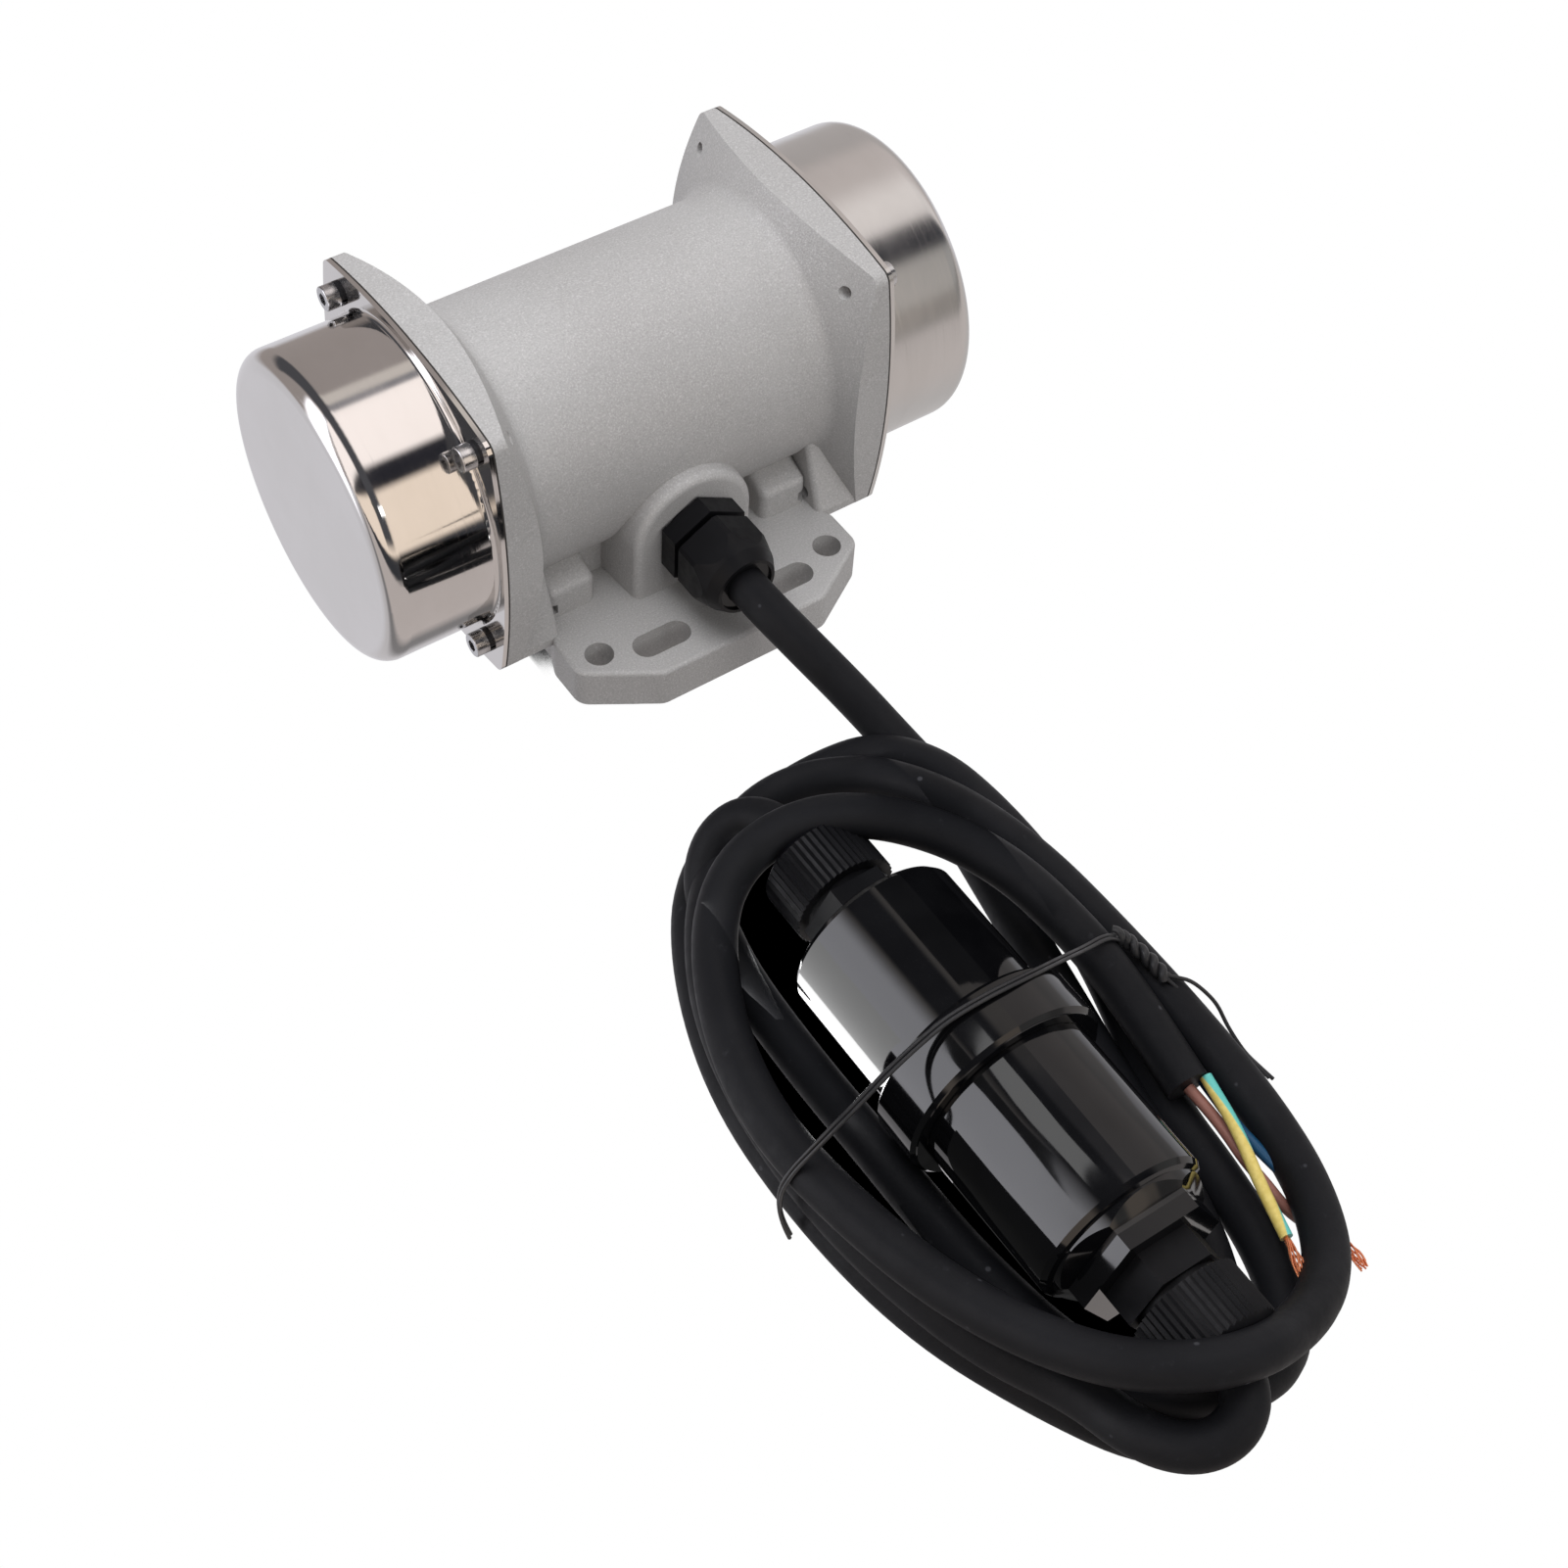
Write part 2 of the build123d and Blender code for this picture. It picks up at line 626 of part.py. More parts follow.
def shaft_hardware(side, sign):
    """Key of the inner weight and the circlip that keeps the weights on."""
    with BuildPart() as key:
        with BuildSketch(end_plane(sign, INNER_WEIGHT_X)):
            with Locations((0, (KEY_BOTTOM + KEY_TOP) / 2)):
                Rectangle(KEY_W, KEY_TOP - KEY_BOTTOM)
        extrude(amount=WEIGHT_T)
    save(key.part, f"weight_key_{side}")
    with BuildPart() as circlip:
        with BuildSketch(end_plane(sign, CIRCLIP_X)):
            Circle(CIRCLIP_OUT_R)
            Circle(CIRCLIP_GROOVE_R, mode=Mode.SUBTRACT)
            with Locations((0, CIRCLIP_OUT_R)):
                Rectangle(CIRCLIP_OPENING, 2 * CIRCLIP_OUT_R - CIRCLIP_OPENING, mode=Mode.SUBTRACT)
        extrude(amount=CIRCLIP_T)
    save(circlip.part, f"circlip_{side}")


def cap_and_gasket(side, sign):
    """Drawn steel cap with its square plate, and the gasket under it."""
    plate_x = FLANGE_X + GASKET_T
    with BuildPart() as gasket:
        with BuildSketch(end_plane(sign, FLANGE_X)):
            add(flange_outline())
            Circle(GASKET_IN_R, mode=Mode.SUBTRACT)
            with GridLocations(2 * SCREW_HALF, 2 * SCREW_HALF, 2, 2):
                Circle(CAP_SCREW_HOLE_R, mode=Mode.SUBTRACT)
        extrude(amount=GASKET_T)
    save(gasket.part, f"gasket_{side}")
    with BuildPart() as cap:
        with BuildSketch(end_plane(sign, plate_x)):
            add(flange_outline())
        extrude(amount=SHEET_T)
        with BuildSketch(end_plane(sign, plate_x)):
            Circle(CAP_R)
        extrude(amount=CAP_END_X - plate_x)
        rims = cap.edges().filter_by(GeomType.CIRCLE)
        end_rim = [e for e in rims if abs(abs(e.center().X) - CAP_END_X) < 0.01]
        fillet(end_rim, CAP_EDGE_R)
        base = [
            e for e in cap.edges().filter_by(GeomType.CIRCLE)
            if abs(e.radius - CAP_R) < 0.01 and abs(abs(e.center().X) - plate_x - SHEET_T) < 0.01
        ]
        fillet(base, CAP_BASE_R)
        with BuildSketch(Plane.XZ):
            r = CAP_R - SHEET_T
            edge_r = CAP_EDGE_R - SHEET_T
            x_in = sign * plate_x
            x_end = sign * (CAP_END_X - SHEET_T)
            x_arc = sign * (CAP_END_X - SHEET_T - edge_r)
            x_mid = sign * (CAP_END_X - SHEET_T - edge_r * (1 - sin(pi / 4)))
            z_arc = AXIS_Z + r - edge_r
            with BuildLine():
                Line((x_in, AXIS_Z), (x_in, AXIS_Z + r))
                Line((x_in, AXIS_Z + r), (x_arc, AXIS_Z + r))
                ThreePointArc(
                    (x_arc, AXIS_Z + r), (x_mid, z_arc + edge_r * sin(pi / 4)), (x_end, z_arc)
                )
                Line((x_end, z_arc), (x_end, AXIS_Z))
                Line((x_end, AXIS_Z), (x_in, AXIS_Z))
            make_face()
        revolve(axis=Axis((0, 0, AXIS_Z), (1, 0, 0)), mode=Mode.SUBTRACT)
        with BuildSketch(end_plane(sign, plate_x)):
            with GridLocations(2 * SCREW_HALF, 2 * SCREW_HALF, 2, 2):
                Circle(CAP_SCREW_HOLE_R)
        extrude(amount=SHEET_T, mode=Mode.SUBTRACT)
    save(cap.part, f"cap_{side}")


def cap_screws(side, sign):
    """Four socket-head screws and their spring washers at one end."""
    plate_top = FLANGE_X + GASKET_T + SHEET_T
    head_x = plate_top + WASHER_T
    with BuildPart() as screws:
        with BuildSketch(end_plane(sign, head_x)):
            with GridLocations(2 * SCREW_HALF, 2 * SCREW_HALF, 2, 2):
                Circle(CAP_SCREW_R)
        extrude(amount=-CAP_SCREW_REACH)
        with BuildSketch(end_plane(sign, head_x)):
            with GridLocations(2 * SCREW_HALF, 2 * SCREW_HALF, 2, 2):
                Circle(CAP_SCREW_HEAD_R)
        extrude(amount=CAP_SCREW_HEAD_H)
        rims = [
            e for e in screws.edges().filter_by(GeomType.CIRCLE)
            if abs(abs(e.center().X) - head_x - CAP_SCREW_HEAD_H) < 0.01
        ]
        fillet(rims, CAP_SCREW_EDGE_R)
        with BuildSketch(end_plane(sign, head_x + CAP_SCREW_HEAD_H)):
            with GridLocations(2 * SCREW_HALF, 2 * SCREW_HALF, 2, 2):
                RegularPolygon(SOCKET_AF / 2, 6, major_radius=False)
        extrude(amount=-SOCKET_DEPTH, mode=Mode.SUBTRACT)
    save(screws.part, f"cap_screws_{side}")
    with BuildPart() as washers:
        with BuildSketch(end_plane(sign, plate_top)):
            with GridLocations(2 * SCREW_HALF, 2 * SCREW_HALF, 2, 2):
                Circle(CAP_SCREW_HEAD_R)
                Circle(CAP_SCREW_HOLE_R, mode=Mode.SUBTRACT)
                with Locations((CAP_SCREW_HEAD_R, 0)):
                    Rectangle(CAP_SCREW_HEAD_R, WASHER_SPLIT, rotation=20, mode=Mode.SUBTRACT)
        extrude(amount=WASHER_T)
    save(washers.part, f"spring_washers_{side}")


def motor_gland():
    """Seat washer, body, dome nut and seal of the gland on the motor."""
    seat_y = BOSS_FRONT_Y
    hex_y = seat_y - GLAND_SEAT_T
    neck_y = hex_y - GLAND_HEX_T
    nut_y = neck_y - GLAND_GAP
    front_y = nut_y - GLAND_NUT_L
    with BuildPart() as seat:
        with BuildSketch(side_plane(0, seat_y, GLAND_Z)):
            Circle(GLAND_AF / 2 - 0.4)
            Circle(GLAND_BORE_R, mode=Mode.SUBTRACT)
        extrude(amount=GLAND_SEAT_T)
    save(seat.part, "motor_gland_seat")
    with BuildPart() as body:
        with BuildSketch(side_plane(0, hex_y, GLAND_Z)):
            RegularPolygon(GLAND_AF / 2, 6, major_radius=False, rotation=30)
        extrude(amount=GLAND_HEX_T)
        with BuildSketch(side_plane(0, hex_y, GLAND_Z)):
            Circle(GLAND_BORE_R)
        extrude(amount=-GLAND_STUB_L)
        with BuildSketch(side_plane(0, neck_y, GLAND_Z)):
            Circle(GLAND_NECK_R)
        extrude(amount=GLAND_GAP)
        with BuildSketch(side_plane(0, hex_y + GLAND_STUB_L, GLAND_Z)):
            Circle(CORD_D / 2)
        extrude(amount=3 * GLAND_STUB_L, mode=Mode.SUBTRACT)
    save(body.part, "motor_gland_body")
    with BuildPart() as nut:
        with BuildSketch(side_plane(0, nut_y, GLAND_Z)):
            RegularPolygon(GLAND_AF / 2, 6, major_radius=False, rotation=30)
        extrude(amount=GLAND_NUT_L)
        # The dome: the hexagon tapers from half its length to the round rim
        with BuildSketch(Plane.YZ):
            with BuildLine():
                Polyline(
                    (nut_y, GLAND_Z),
                    (nut_y, GLAND_Z + GLAND_AF / 2 + 1.1),
                    (nut_y - 0.45 * GLAND_NUT_L, GLAND_Z + GLAND_AF / 2 + 1.1),
                    (nut_y - 0.8 * GLAND_NUT_L, GLAND_Z + GLAND_AF / 2 - 0.3),
                    (front_y, GLAND_Z + GLAND_RIM_R),
                    (front_y, GLAND_Z),
                    close=True,
                )
            make_face()
        revolve(axis=Axis((0, 0, GLAND_Z), (0, 1, 0)), mode=Mode.INTERSECT)
        with BuildSketch(side_plane(0, nut_y, GLAND_Z)):
            Circle(GLAND_MOUTH_R)
        extrude(amount=GLAND_NUT_L, mode=Mode.SUBTRACT)
    save(nut.part, "motor_gland_nut")
    with BuildPart() as seal:
        with BuildSketch(side_plane(0, nut_y, GLAND_Z)):
            Circle(GLAND_MOUTH_R)
            Circle(CORD_D / 2, mode=Mode.SUBTRACT)
        extrude(amount=GLAND_NUT_L - 0.6)
    save(seal.part, "motor_gland_seal")


def rib_outline(radius, ribs, depth):
    """Outline of a ribbed nut: alternate points at the top and the foot of each rib."""
    points = []
    for i in range(2 * ribs):
        angle = pi * i / ribs
        r = radius - (depth if i % 2 else 0.0)
        points.append((r * cos(angle), r * sin(angle)))
    with BuildSketch() as outline:
        with BuildLine():
            Polyline(*points, close=True)
        make_face()
    return outline.sketch


def box_gland(end, towards, hex_y):
    """Gland at one end of the capacitor box: hexagon body, ribbed nut and seal."""
    nut_y = hex_y + towards * (BOX_GLAND_HEX_T + BOX_GLAND_GAP)
    front_y = nut_y + towards * BOX_NUT_L
    with BuildPart() as body:
        with BuildSketch(side_plane(BOX_X, hex_y, BOX_Z, towards)):
            RegularPolygon(BOX_GLAND_AF / 2, 6, major_radius=False)
        extrude(amount=BOX_GLAND_HEX_T)
        with BuildSketch(side_plane(BOX_X, hex_y, BOX_Z, towards)):
            Circle(BOX_NUT_R - 2.6)
        extrude(amount=BOX_GLAND_HEX_T + BOX_GLAND_GAP)
        with BuildSketch(side_plane(BOX_X, hex_y, BOX_Z, towards)):
            Circle(CORD_D / 2)
        extrude(amount=BOX_GLAND_HEX_T + BOX_GLAND_GAP, mode=Mode.SUBTRACT)
    save(body.part, f"box_gland_body_{end}")
    with BuildPart() as nut:
        with BuildSketch(side_plane(BOX_X, nut_y, BOX_Z, towards)):
            add(rib_outline(BOX_NUT_R, BOX_NUT_RIBS, BOX_NUT_RIB_DEPTH))
        extrude(amount=BOX_NUT_L)
        with BuildSketch(Plane.YZ.offset(BOX_X)):
            with BuildLine():
                Polyline(
                    (nut_y, BOX_Z),
                    (nut_y, BOX_Z + BOX_NUT_R + 0.5),
                    (front_y - towards * BOX_NUT_CHAMFER, BOX_Z + BOX_NUT_R + 0.5),
                    (front_y, BOX_Z + BOX_NUT_R - BOX_NUT_CHAMFER),
                    (front_y, BOX_Z),
                    close=True,
                )
            make_face()
        revolve(axis=Axis((BOX_X, 0, BOX_Z), (0, 1, 0)), mode=Mode.INTERSECT)
        with BuildSketch(side_plane(BOX_X, nut_y, BOX_Z, towards)):
            Circle(SEAL_OUT_R)
        extrude(amount=BOX_NUT_L, mode=Mode.SUBTRACT)
    save(nut.part, f"box_gland_nut_{end}")
    with BuildPart() as seal:
        with BuildSketch(side_plane(BOX_X, nut_y, BOX_Z, towards)):
            Circle(SEAL_OUT_R)
            Circle(CORD_D / 2, mode=Mode.SUBTRACT)
        extrude(amount=BOX_NUT_L - 0.5)
    save(seal.part, f"box_gland_seal_{end}")
    return front_y


def revolved_about_box(points):
    """Turn a profile of (y, radius) pairs about the axis of the capacitor box."""
    with BuildPart() as body:
        with BuildSketch(Plane.YZ.offset(BOX_X)):
            with BuildLine():
                Polyline(*[(y, BOX_Z + r) for y, r in points], close=True)
            make_face()
        revolve(axis=Axis((BOX_X, 0, BOX_Z), (0, 1, 0)))
    return body.part


def faceted_foot(foot_y):
    """Short frustum between the round lower shell and the hexagon base nut."""
    rim_r = BOX_LOWER_R - BOX_EDGE_R
    with BuildPart() as body:
        with BuildSketch(side_plane(BOX_X, foot_y, BOX_Z, 1)):
            RegularPolygon(BOX_FLANGE_AF / 2, 6, major_radius=False)
        with BuildSketch(side_plane(BOX_X, BOX_LOWER_Y, BOX_Z, 1)):
            RegularPolygon(rim_r + BOX_FOOT_FLARE, 6, major_radius=False)
        loft(ruled=True)
        with BuildSketch(side_plane(BOX_X, foot_y, BOX_Z, 1)):
            Circle(rim_r)
            Circle(CORD_D / 2, mode=Mode.SUBTRACT)
        extrude(amount=BOX_FOOT_T, mode=Mode.INTERSECT)
    return body.part


def capacitor_box():
    """Two shells, the collar that clamps them, and the capacitor inside."""
    bore = CORD_D / 2
    inner = BOX_SHELL_R - BOX_WALL
    upper = revolved_about_box([
        (BOX_UPPER_Y, bore),
        (BOX_UPPER_Y, BOX_SHELL_R - BOX_EDGE_R),
        (BOX_UPPER_Y - 0.4 * BOX_EDGE_R, BOX_SHELL_R - 0.4 * BOX_EDGE_R),
        (BOX_UPPER_Y - BOX_EDGE_R, BOX_SHELL_R),
        (BOX_JOINT_Y, BOX_SHELL_R),
        (BOX_JOINT_Y, inner),
        (BOX_UPPER_Y - 2 * BOX_WALL, inner),
        (BOX_UPPER_Y - 2 * BOX_WALL, bore),
    ])
    save(upper, "box_shell_upper")
    foot_y = BOX_LOWER_Y - BOX_FOOT_T
    with BuildPart() as lower:
        add(revolved_about_box([
            (BOX_JOINT_Y, inner),
            (BOX_JOINT_Y, BOX_SHELL_R),
            (BOX_COLLAR_Y[1], BOX_SHELL_R),
            (BOX_LOWER_Y + BOX_EDGE_R, BOX_LOWER_R),
            (BOX_LOWER_Y + 0.3 * BOX_EDGE_R, BOX_LOWER_R - 0.4 * BOX_EDGE_R),
            (BOX_LOWER_Y, BOX_LOWER_R - BOX_EDGE_R),
            (BOX_LOWER_Y, bore),
            (BOX_LOWER_Y + 2 * BOX_WALL, bore),
            (BOX_LOWER_Y + 2 * BOX_WALL, inner - 0.4),
        ]))
        add(faceted_foot(foot_y))
    save(lower.part, "box_shell_lower")
    collar = revolved_about_box([
        (BOX_COLLAR_Y[0], BOX_SHELL_R),
        (BOX_COLLAR_Y[0], BOX_COLLAR_R - BOX_COLLAR_BEVEL),
        (BOX_COLLAR_Y[0] - BOX_COLLAR_BEVEL, BOX_COLLAR_R),
        (BOX_COLLAR_Y[1] + BOX_COLLAR_BEVEL, BOX_COLLAR_R),
        (BOX_COLLAR_Y[1], BOX_COLLAR_R - BOX_COLLAR_BEVEL),
        (BOX_COLLAR_Y[1], BOX_SHELL_R),
    ])
    save(collar, "box_collar")
    with BuildPart() as base:
        with BuildSketch(side_plane(BOX_X, foot_y, BOX_Z)):
            RegularPolygon(BOX_FLANGE_AF / 2, 6, major_radius=False)
            Circle(bore, mode=Mode.SUBTRACT)
        extrude(amount=BOX_FLANGE_T)
    save(base.part, "box_base_nut")
    middle = (BOX_UPPER_Y + BOX_LOWER_Y) / 2
    with BuildPart() as capacitor:
        with BuildSketch(side_plane(BOX_X, middle + CAPACITOR_L / 2, BOX_Z)):
            Circle(BOX_SHELL_R - BOX_WALL - CAPACITOR_CLEARANCE)
        extrude(amount=CAPACITOR_L)
        fillet(capacitor.edges().filter_by(GeomType.CIRCLE), CAPACITOR_EDGE_R)
        with BuildSketch(side_plane(BOX_X, middle + CAPACITOR_L / 2, BOX_Z, 1)):
            with GridLocations(TERMINAL_PITCH, 0, 2, 1):
                Rectangle(TERMINAL_W, TERMINAL_T)
        extrude(amount=TERMINAL_L)
    save(capacitor.part, "capacitor")
    return foot_y - BOX_FLANGE_T


def corner_radii(route, least, name):
    """Arc radius at each corner of a cable route: 0.45 of the shorter run over tan of half the turn."""
    radii = []
    for a, b, c in zip(route, route[1:], route[2:]):
        run_in = Vector(*b) - Vector(*a)
        run_out = Vector(*c) - Vector(*b)
        turn = radians(run_in.get_angle(run_out))
        radii.append(0.45 * min(run_in.length, run_out.length) / tan(turn / 2))
    print(name, "radii", [round(r, 1) for r in radii], "least allowed", least)
    return radii


def tube(route, radius, name, least):
    """Round tube along straight runs joined by tangent arcs."""
    radii = corner_radii(route, least, name)
    with BuildPart() as body:
        with BuildLine() as path:
            FilletPolyline(*route, radius=radii)
        start = path.line @ 0
        heading = path.line % 0
        with BuildSketch(Plane(origin=start, z_dir=heading)):
            Circle(radius)
        sweep(path=path.line)
    length = sum(e.length for e in path.edges())
    ratio = body.part.volume / (pi * radius**2 * length)
    print(name, "length", round(length, 1), "volume ratio", round(ratio, 4))
    save(body.part, name)


def hull_of_circles(circles):
    """Smooth closed outline round a few circles."""
    with BuildSketch() as outline:
        for centre, radius in circles:
            with Locations(centre):
                Circle(radius)
        make_hull()
    return outline.sketch


def coil_layer(name, low, high, top_layer):
    """One layer of the coil as a closed ring, clear of the box glands that it passes."""
    with BuildPart() as ring:
        with BuildSketch(Plane.XY.offset(low)):
            add(hull_of_circles(COIL_OUTLINE))
            add(hull_of_circles(COIL_HOLE), mode=Mode.SUBTRACT)
        extrude(amount=high - low)
        rim_z = high if top_layer else low
        rims = [e for e in ring.edges() if abs(e.center().Z - rim_z) < 0.01]
        fillet(rims, COIL_EDGE_R)
        with BuildSketch(side_plane(BOX_X, UPPER_STUB_END_Y, BOX_Z)):
            Circle(BOX_NUT_R + COIL_GAP)
        extrude(amount=UPPER_STUB_END_Y - LOWER_STUB_END_Y, mode=Mode.SUBTRACT)
        if top_layer:
            # The bare cores lie in the hole of the coil
            with BuildSketch(Plane.XY.offset(low)):
                with Locations(CORE_SPACE_CENTRE):
                    Rectangle(*CORE_SPACE)
            extrude(amount=high - low, mode=Mode.SUBTRACT)
    print(name, "solids", len(ring.part.solids()), "volume", round(ring.part.volume))
    save(ring.part, name)


def cord_stubs(upper_front_y, lower_front_y):
    """The cable inside each box gland, up to the coil that it comes from."""
    with BuildPart() as stubs:
        for towards, front_y, end_y in (
            (1, upper_front_y, UPPER_STUB_END_Y),
            (-1, lower_front_y, LOWER_STUB_END_Y),
        ):
            with BuildSketch(side_plane(BOX_X, front_y - towards * BOX_NUT_L, BOX_Z, towards)):
                Circle(CORD_D / 2)
            extrude(amount=BOX_NUT_L + abs(end_y - front_y))
    save(stubs.part, "cord_stubs")


def wire_cores():
    """Three insulated cores with bare copper at their ends."""
    for colour, route in CORE_ROUTES.items():
        tube(route, CORE_R, f"core_{colour}", 3 * CORE_R)
    with BuildPart() as copper:
        for route in CORE_ROUTES.values():
            end = Vector(*route[-1])
            with BuildSketch(Plane(origin=end, z_dir=end - Vector(*route[-2]))):
                Circle(COPPER_R)
            extrude(amount=COPPER_L)
    save(copper.part, "core_copper")


os.makedirs("parts", exist_ok=True)
housing()
stator()
rotor()
for side, sign in (("left", -1), ("right", 1)):
    bearing_shield(side, sign)
    bearing(side, sign)
    eccentric_weight(side, sign, "inner", INNER_WEIGHT_X, True)
    eccentric_weight(side, sign, "outer", OUTER_WEIGHT_X, False)
    shaft_hardware(side, sign)
    cap_and_gasket(side, sign)
    cap_screws(side, sign)
motor_gland()
lower_end_y = capacitor_box()
upper_front_y = box_gland("upper", 1, BOX_UPPER_Y)
lower_front_y = box_gland("lower", -1, lower_end_y)
cord_stubs(upper_front_y, lower_front_y)
coil_layer("cord_coil_motor", 0.0, COIL_SPLIT_Z, False)
coil_layer("cord_coil_tail", COIL_SPLIT_Z, COIL_TOP_Z, True)
tube(CORD_ROUTE, CORD_D / 2, "cord_motor", 3 * CORD_D)
wire_cores()
tube(TIE_ROUTE, TIE_R, "twist_tie", TIE_R)
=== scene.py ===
import json
from math import cos, pi, radians, sin

import bpy
from mathutils import Matrix, Vector


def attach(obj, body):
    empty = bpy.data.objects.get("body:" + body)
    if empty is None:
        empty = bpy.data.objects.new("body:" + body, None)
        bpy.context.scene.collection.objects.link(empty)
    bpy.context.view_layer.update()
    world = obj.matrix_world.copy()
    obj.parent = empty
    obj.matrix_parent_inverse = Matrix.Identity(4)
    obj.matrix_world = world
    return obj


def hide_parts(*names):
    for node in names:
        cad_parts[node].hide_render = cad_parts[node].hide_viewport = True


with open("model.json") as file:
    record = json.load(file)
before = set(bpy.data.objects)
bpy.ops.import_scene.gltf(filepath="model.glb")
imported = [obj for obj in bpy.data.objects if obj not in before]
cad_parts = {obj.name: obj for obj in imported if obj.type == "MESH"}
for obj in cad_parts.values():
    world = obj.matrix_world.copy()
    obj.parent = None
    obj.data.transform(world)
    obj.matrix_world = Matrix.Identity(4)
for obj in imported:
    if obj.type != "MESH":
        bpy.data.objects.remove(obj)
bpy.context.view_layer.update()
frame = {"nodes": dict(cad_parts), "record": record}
nodes = frame["nodes"]
scene = bpy.context.scene
MM = 0.001
UP = Vector((0.0, 0.0, 1.0))
WHITE = (1.0, 1.0, 1.0)

# Camera, as found from the photo
CAMERA_RIGHT = Vector((0.82203, -0.56763, 0.04537))
CAMERA_DOWN = Vector((-0.42448, -0.66393, -0.61564))
CAMERA_PLACE = (-0.22045, -0.35460, 0.43248)
CAMERA_LENS = 59.34
CAMERA_SENSOR = 36.0
camera_data = bpy.data.cameras.new("camera")
camera_data.lens = CAMERA_LENS
camera_data.sensor_width = CAMERA_SENSOR
camera_data.clip_start = 0.01
camera = bpy.data.objects.new("camera", camera_data)
scene.collection.objects.link(camera)
ahead = CAMERA_RIGHT.cross(CAMERA_DOWN)
turn = Matrix((CAMERA_RIGHT, -CAMERA_DOWN, -ahead)).transposed().to_4x4()
camera.matrix_world = Matrix.Translation(CAMERA_PLACE) @ turn
scene.camera = camera
scene.view_settings.view_transform = "Standard"
scene.view_settings.look = "None"


class Tree:
    """The node tree of a material or world, with short calls for the nodes that this scene uses."""

    def __init__(self, owner):
        owner.use_nodes = True
        self.tree = owner.node_tree

    def put(self, socket, value):
        if isinstance(value, bpy.types.NodeSocket):
            self.tree.links.new(value, socket)
        elif isinstance(value, tuple) and socket.type == "RGBA":
            socket.default_value = (*value, 1.0)
        else:
            socket.default_value = value

    def node(self, kind, *sources, **values):
        """A new node, with its properties by name and its inputs in their own order."""
        made = self.tree.nodes.new(kind)
        for key, value in values.items():
            setattr(made, key, value)
        for socket, source in zip(made.inputs, sources):
            self.put(socket, source)
        return made

    def parts(self, vector):
        return self.node("ShaderNodeSeparateXYZ", vector).outputs

    def straight(self, value, low, high, out_low=0.0, out_high=1.0):
        """Even step between two edges."""
        return self.node("ShaderNodeMapRange", value, low, high, out_low, out_high).outputs[0]

    def span(self, value, low, high, out_low=0.0, out_high=1.0):
        """Eased step between two edges."""
        made = self.node(
            "ShaderNodeMapRange", value, low, high, out_low, out_high, interpolation_type="SMOOTHSTEP"
        )
        return made.outputs[0]

    def math(self, operation, a, b=0.0):
        return self.node("ShaderNodeMath", a, b, operation=operation).outputs[0]

    def vector_math(self, operation, a, b=(0.0, 0.0, 0.0), output="Vector"):
        return self.node("ShaderNodeVectorMath", a, b, operation=operation).outputs[output]

    def mix(self, share, a, b):
        made = self.node("ShaderNodeMix", data_type="RGBA")
        self.put(made.inputs["Factor"], share)
        self.put(made.inputs["A"], a)
        self.put(made.inputs["B"], b)
        return made.outputs["Result"]

    def glow(self, strength):
        """White light of the given strength as the whole material."""
        made = self.node("ShaderNodeEmission", WHITE, strength)
        self.node("ShaderNodeOutputMaterial", made.outputs[0])


class Shader(Tree):
    """A solid surface's material."""

    def __init__(self, name):
        self.material = bpy.data.materials.new(name)
        super().__init__(self.material)
        self.bsdf = self.tree.nodes["Principled BSDF"]
        self.place = self.node("ShaderNodeTexCoord").outputs["Object"]

    def set(self, **values):
        for key, value in values.items():
            self.put(self.bsdf.inputs[key.replace("_", " ")], value)

    def noise(self, scale, detail=3.0, rough=0.5, place=None):
        made = self.node("ShaderNodeTexNoise", place or self.place)
        made.inputs["Scale"].default_value = scale
        made.inputs["Detail"].default_value = detail
        made.inputs["Roughness"].default_value = rough
        return made.outputs["Fac"]

    def cells(self, scale):
        made = self.node("ShaderNodeTexVoronoi", self.place, feature="F1")
        made.inputs["Scale"].default_value = scale
        return made.outputs["Distance"]

    def stretch(self, x, y, z):
        made = self.node("ShaderNodeMapping", self.place)
        made.inputs["Scale"].default_value = (x, y, z)
        return made.outputs["Vector"]

    def bump(self, height, distance, strength=1.0, under=None):
        made = self.node("ShaderNodeBump")
        made.inputs["Strength"].default_value = strength
        made.inputs["Distance"].default_value = distance
        self.put(made.inputs["Height"], height)
        if under is not None:
            self.put(made.inputs["Normal"], under)
        return made.outputs["Normal"]


def cast_metal():
    """Shot-blasted casting: even warm grey, with a fine grain whose bright flecks are both real grain and
    painted sparkle glints.
    """
    s = Shader("cast_aluminium")
    broad = s.noise(22.0)
    coarse = s.noise(700.0, 2.0, 0.6)
    fine = s.noise(2500.0, 2.0, 0.6)
    tone = s.mix(s.span(broad, 0.3, 0.7), (0.385, 0.372, 0.362), (0.425, 0.414, 0.405))
    # Bright flecks: grain, and painted sparkle glints as well
    tone = s.mix(s.span(fine, 0.50, 0.74, 0.0, 0.4), tone, (0.68, 0.67, 0.66))
    tone = s.mix(s.span(fine, 0.28, 0.46, 0.35, 0.0), tone, (0.24, 0.23, 0.22))
    rough = s.span(fine, 0.3, 0.7, 0.62, 0.42)
    grain = s.bump(fine, 0.00012, 0.6, s.bump(coarse, 0.00016, 0.35))
    s.set(Base_Color=tone, Metallic=0.15, Roughness=rough, Normal=grain)
    return s.material


# The middle stretch of the motor, in metres, where the sheet's finish goes from bright to brushed
BRIGHT_TO_BRUSHED_X = (-0.02, 0.02)


